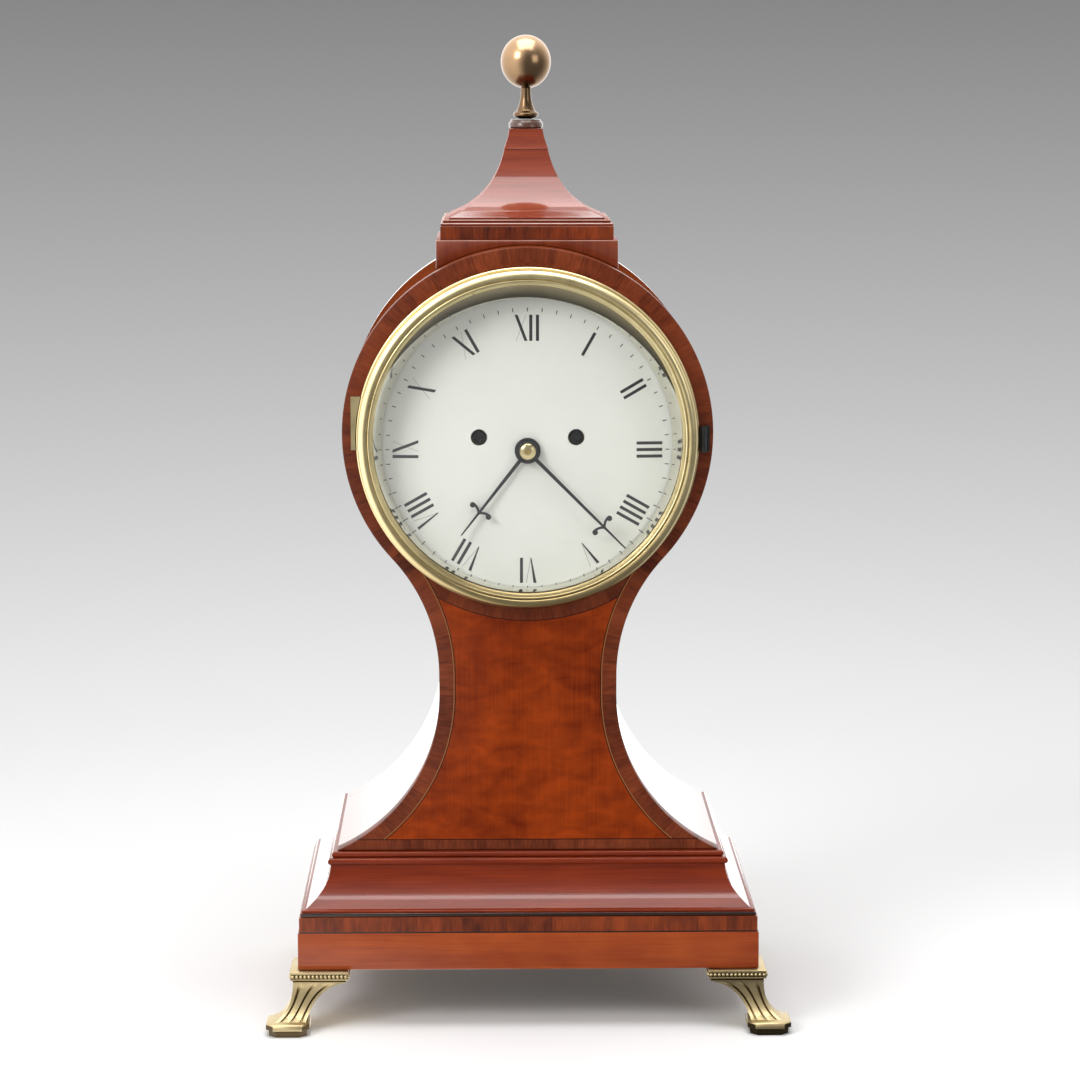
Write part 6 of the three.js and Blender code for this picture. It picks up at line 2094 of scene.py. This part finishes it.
def point_along(piece: bpy.types.Object, way: Vector) -> None:
    """Turns a lamp or the camera.

    Args:
        piece: what is turned.
        way: the direction that it looks in.
    """
    piece.rotation_mode = "QUATERNION"
    piece.rotation_quaternion = way.to_track_quat("-Z", "Y")


@dataclass(frozen=True)
class Lamp:
    """A soft lamp that the camera does not see, in metres and watts. One that is mirrored lights nothing."""

    name: str
    at: Triple
    to: Triple
    size: Point
    power: float
    mirrored: str = ""

    def build(self) -> None:
        """Hangs the lamp. Where a piece is named, only that piece mirrors it."""
        data = bpy.data.lights.new(self.name, "AREA")
        data.shape, data.energy = "RECTANGLE", self.power
        data.size, data.size_y = self.size
        lamp = bpy.data.objects.new(self.name, data)
        lamp.location = self.at
        lamp.visible_camera = False
        point_along(lamp, Vector(self.to) - Vector(self.at))
        bpy.context.scene.collection.objects.link(lamp)
        if self.mirrored:
            lamp.visible_diffuse = False
            lamp.light_linking.receiver_collection = bpy.data.collections.new(self.name)
            lamp.light_linking.receiver_collection.objects.link(bpy.data.objects[self.mirrored])


@dataclass
class Stage:
    """The pale floor, the soft lamps, the backdrop's light and the camera."""

    floor: float = 9.0
    # Where the floor starts to turn grey, and where it is all grey
    floor_fade: Point = (0.45, 1.2)
    paper: str = "f4f4f4"
    eye: Triple = (-0.0266, -2.028, 0.59)
    aim: Triple = (0.01727, 0.98938, -0.14436)
    lens: float = 106.57
    sensor: float = 36.0
    clip: Point = (0.05, 60.0)
    # The backdrop's grey at eye level, and how fast it pales below
    fade: Point = (0.57, 1.86)
    darkest: float = 0.3
    gamma: float = 2.2
    ambient: float = 0.42
    # The mirrored studio's dimmest and brightest light, and where the one fades into the other
    mirror: Point = (0.26, 2.1)
    mirror_run: Point = (-0.6, 0.5)
    # How much brighter it is behind the clock, to either side, to the right and above
    mirror_pulls: tuple[float, ...] = (0.6, 0.35, -0.75, 0.3)
    lamps: tuple[Lamp, ...] = (
        Lamp("overhead", at=(0.0, -0.15, 1.7), to=(0.0, 0.0, 0.5), size=(1.2, 1.2), power=21.0),
        Lamp("key", at=(-1.5, -1.6, 1.6), to=(0.0, 0.0, 0.35), size=(0.9, 0.9), power=24.0),
        Lamp("fill", at=(1.5, -1.6, 1.0), to=(0.0, 0.0, 0.3), size=(1.0, 1.0), power=6.0),
        Lamp("strip", (0.0, -0.555, 1.69), (0.0, -0.55, 0.0), (1.2, 0.21), 9.5, mirrored="cove_moulding"),
    )

    def build(self) -> None:
        """Makes the floor, lamps, world and camera."""
        self.build_floor()
        self.build_world()
        for lamp in self.lamps:
            lamp.build()
        self.add_camera()
        bpy.context.scene.view_settings.view_transform = "Standard"

    def seen(self, tree: Tree) -> Socket:
        """Tells rays that look at the backdrop, straight, mirrored or through glass, from rays that light.

        Args:
            tree: the material's or world's tree.

        Returns:
            One for rays that look, zero for rays that light.
        """
        path = add_node(tree, "ShaderNodeLightPath").outputs
        sums = [("a", "MAXIMUM", "camera", "glossy"), ("seen", "MAXIMUM", "a", "through")]
        known = {
            "camera": path["Is Camera Ray"],
            "glossy": path["Is Glossy Ray"],
            "through": path["Is Transmission Ray"],
        }
        return run_formula(tree, sums, known)["seen"]

    def backdrop(self, tree: Tree, dip: Socket) -> Socket:
        """Gives the backdrop's grey, which pales evenly from the top of the picture to the floor.

        Args:
            tree: the material's or world's tree.
            dip: how far below the horizon a place is seen, as a slope.

        Returns:
            The grey's socket.
        """
        sums = [
            ("shade", "MULTIPLY_ADD", "dip", self.fade[1], self.fade[0]),
            ("held", "MINIMUM", "shade", 1.0),
            ("lifted", "MAXIMUM", "held", self.darkest),
            ("grey", "POWER", "lifted", self.gamma),
        ]
        return run_formula(tree, sums, {"dip": dip})["grey"]

    def mirror_in(self, tree: Tree, place: Socket, shade: Socket) -> Socket:
        """Gives polished faces a studio to mirror: white behind the clock and at its left, dim in front.

        Args:
            tree: the material's or world's tree.
            place: the place or direction that is mirrored.
            shade: the shader that every other ray meets.

        Returns:
            The shader's socket.
        """
        way = add_node(tree, "ShaderNodeVectorMath", {"operation": "NORMALIZE"}, {0: place}).outputs[0]
        path = add_node(tree, "ShaderNodeLightPath").outputs
        behind, aside, right, above = self.mirror_pulls
        sums = [
            ("wide", "ABSOLUTE", "x"),
            ("behind", "MULTIPLY", "y", behind),
            ("across", "MULTIPLY_ADD", "wide", aside, "behind"),
            ("left", "MULTIPLY_ADD", "x", right, "across"),
            ("depth", "MULTIPLY_ADD", "z", above, "left"),
            ("mask", "SUBTRACT", "glossy", "through"),
        ]
        known = dict(zip("xyz", split(tree, way)))
        known |= {"glossy": path["Is Glossy Ray"], "through": path["Is Transmission Ray"]}
        made = run_formula(tree, sums, known)
        light = {"Color": WHITE, "Strength": fade_between(tree, made["depth"], self.mirror_run, self.mirror)}
        glow = add_node(tree, "ShaderNodeEmission", None, light).outputs[0]
        return add_node(tree, "ShaderNodeMixShader", None, {0: made["mask"], 1: shade, 2: glow}).outputs[0]

    def build_floor(self) -> None:
        """Makes the floor: pale near the clock, where it takes the shadow, and grey far off."""
        mesh = bpy.data.meshes.new("floor")
        bm = bmesh.new()
        bmesh.ops.create_circle(bm, cap_ends=True, segments=96, radius=self.floor)
        bm.to_mesh(mesh)
        bm.free()
        floor = bpy.data.objects.new("floor", mesh)
        bpy.context.scene.collection.objects.link(floor)
        made = bpy.data.materials.new("Floor paper")
        made.use_nodes = True
        tree = made.node_tree
        tree.nodes.clear()
        place = place_in(tree)
        far = add_node(tree, "ShaderNodeVectorMath", {"operation": "LENGTH"}, {0: place}).outputs["Value"]
        away = fade_between(tree, far, self.floor_fade, (0.0, 1.0))
        sums = [
            ("gone", "ADD", "far", -self.eye[1]),
            ("dip", "DIVIDE", self.eye[2], "gone"),
            ("share", "MULTIPLY", "away", "seen"),
        ]
        known = run_formula(tree, sums, {"far": far, "away": away, "seen": self.seen(tree)})
        colour = self.backdrop(tree, known["dip"])
        paper = add_node(tree, "ShaderNodeBsdfDiffuse", None, {"Color": linear(self.paper)}).outputs[0]
        glow = add_node(tree, "ShaderNodeEmission", None, {"Color": colour, "Strength": 1.0}).outputs[0]
        both = add_node(tree, "ShaderNodeMixShader", None, {0: known["share"], 1: paper, 2: glow}).outputs[0]
        both = self.mirror_in(tree, place, both)
        add_node(tree, "ShaderNodeOutputMaterial", None, {"Surface": both})
        mesh.materials.append(made)

    def build_world(self) -> None:
        """Makes the backdrop: grey above, paler towards the floor, and dim behind the camera."""
        world = bpy.data.worlds.new("studio")
        bpy.context.scene.world = world
        world.use_nodes = True
        tree = world.node_tree
        tree.nodes.clear()
        way = add_node(tree, "ShaderNodeTexCoord").outputs["Generated"]
        up = {"up": split(tree, way)[2]}
        dip = run_formula(tree, [("dip", "MULTIPLY", "up", -1.0)], up)["dip"]
        lights = []
        for colour, strength in ((WHITE, self.ambient), (self.backdrop(tree, dip), 1.0)):
            light = {"Color": colour, "Strength": strength}
            lights.append(add_node(tree, "ShaderNodeBackground", None, light).outputs[0])
        looks = {0: self.seen(tree), 1: lights[0], 2: lights[1]}
        both = add_node(tree, "ShaderNodeMixShader", None, looks).outputs[0]
        both = self.mirror_in(tree, way, both)
        add_node(tree, "ShaderNodeOutputWorld", None, {"Surface": both})

    def add_camera(self) -> None:
        """Puts the camera where the photograph was taken from."""
        data = bpy.data.cameras.new("camera")
        data.lens, data.sensor_width = self.lens, self.sensor
        data.clip_start, data.clip_end = self.clip
        camera = bpy.data.objects.new("camera", data)
        camera.location = self.eye
        point_along(camera, Vector(self.aim))
        bpy.context.scene.collection.objects.link(camera)
        bpy.context.scene.camera = camera


def main() -> None:
    """Builds the clock piece by piece, then its stage."""
    logging.basicConfig(level=logging.INFO, format="%(message)s", stream=sys.stdout)
    case, dial = (CaseShell, Base, Cap, Finial, Feet), (BezelDoor, Dial, Hands, WindingSquares)
    for part in (*case, *dial, CarriedOver, Stage):
        LOG.info("building %s", part.__name__)
        part().build()


if __name__ == "__main__":
    main()
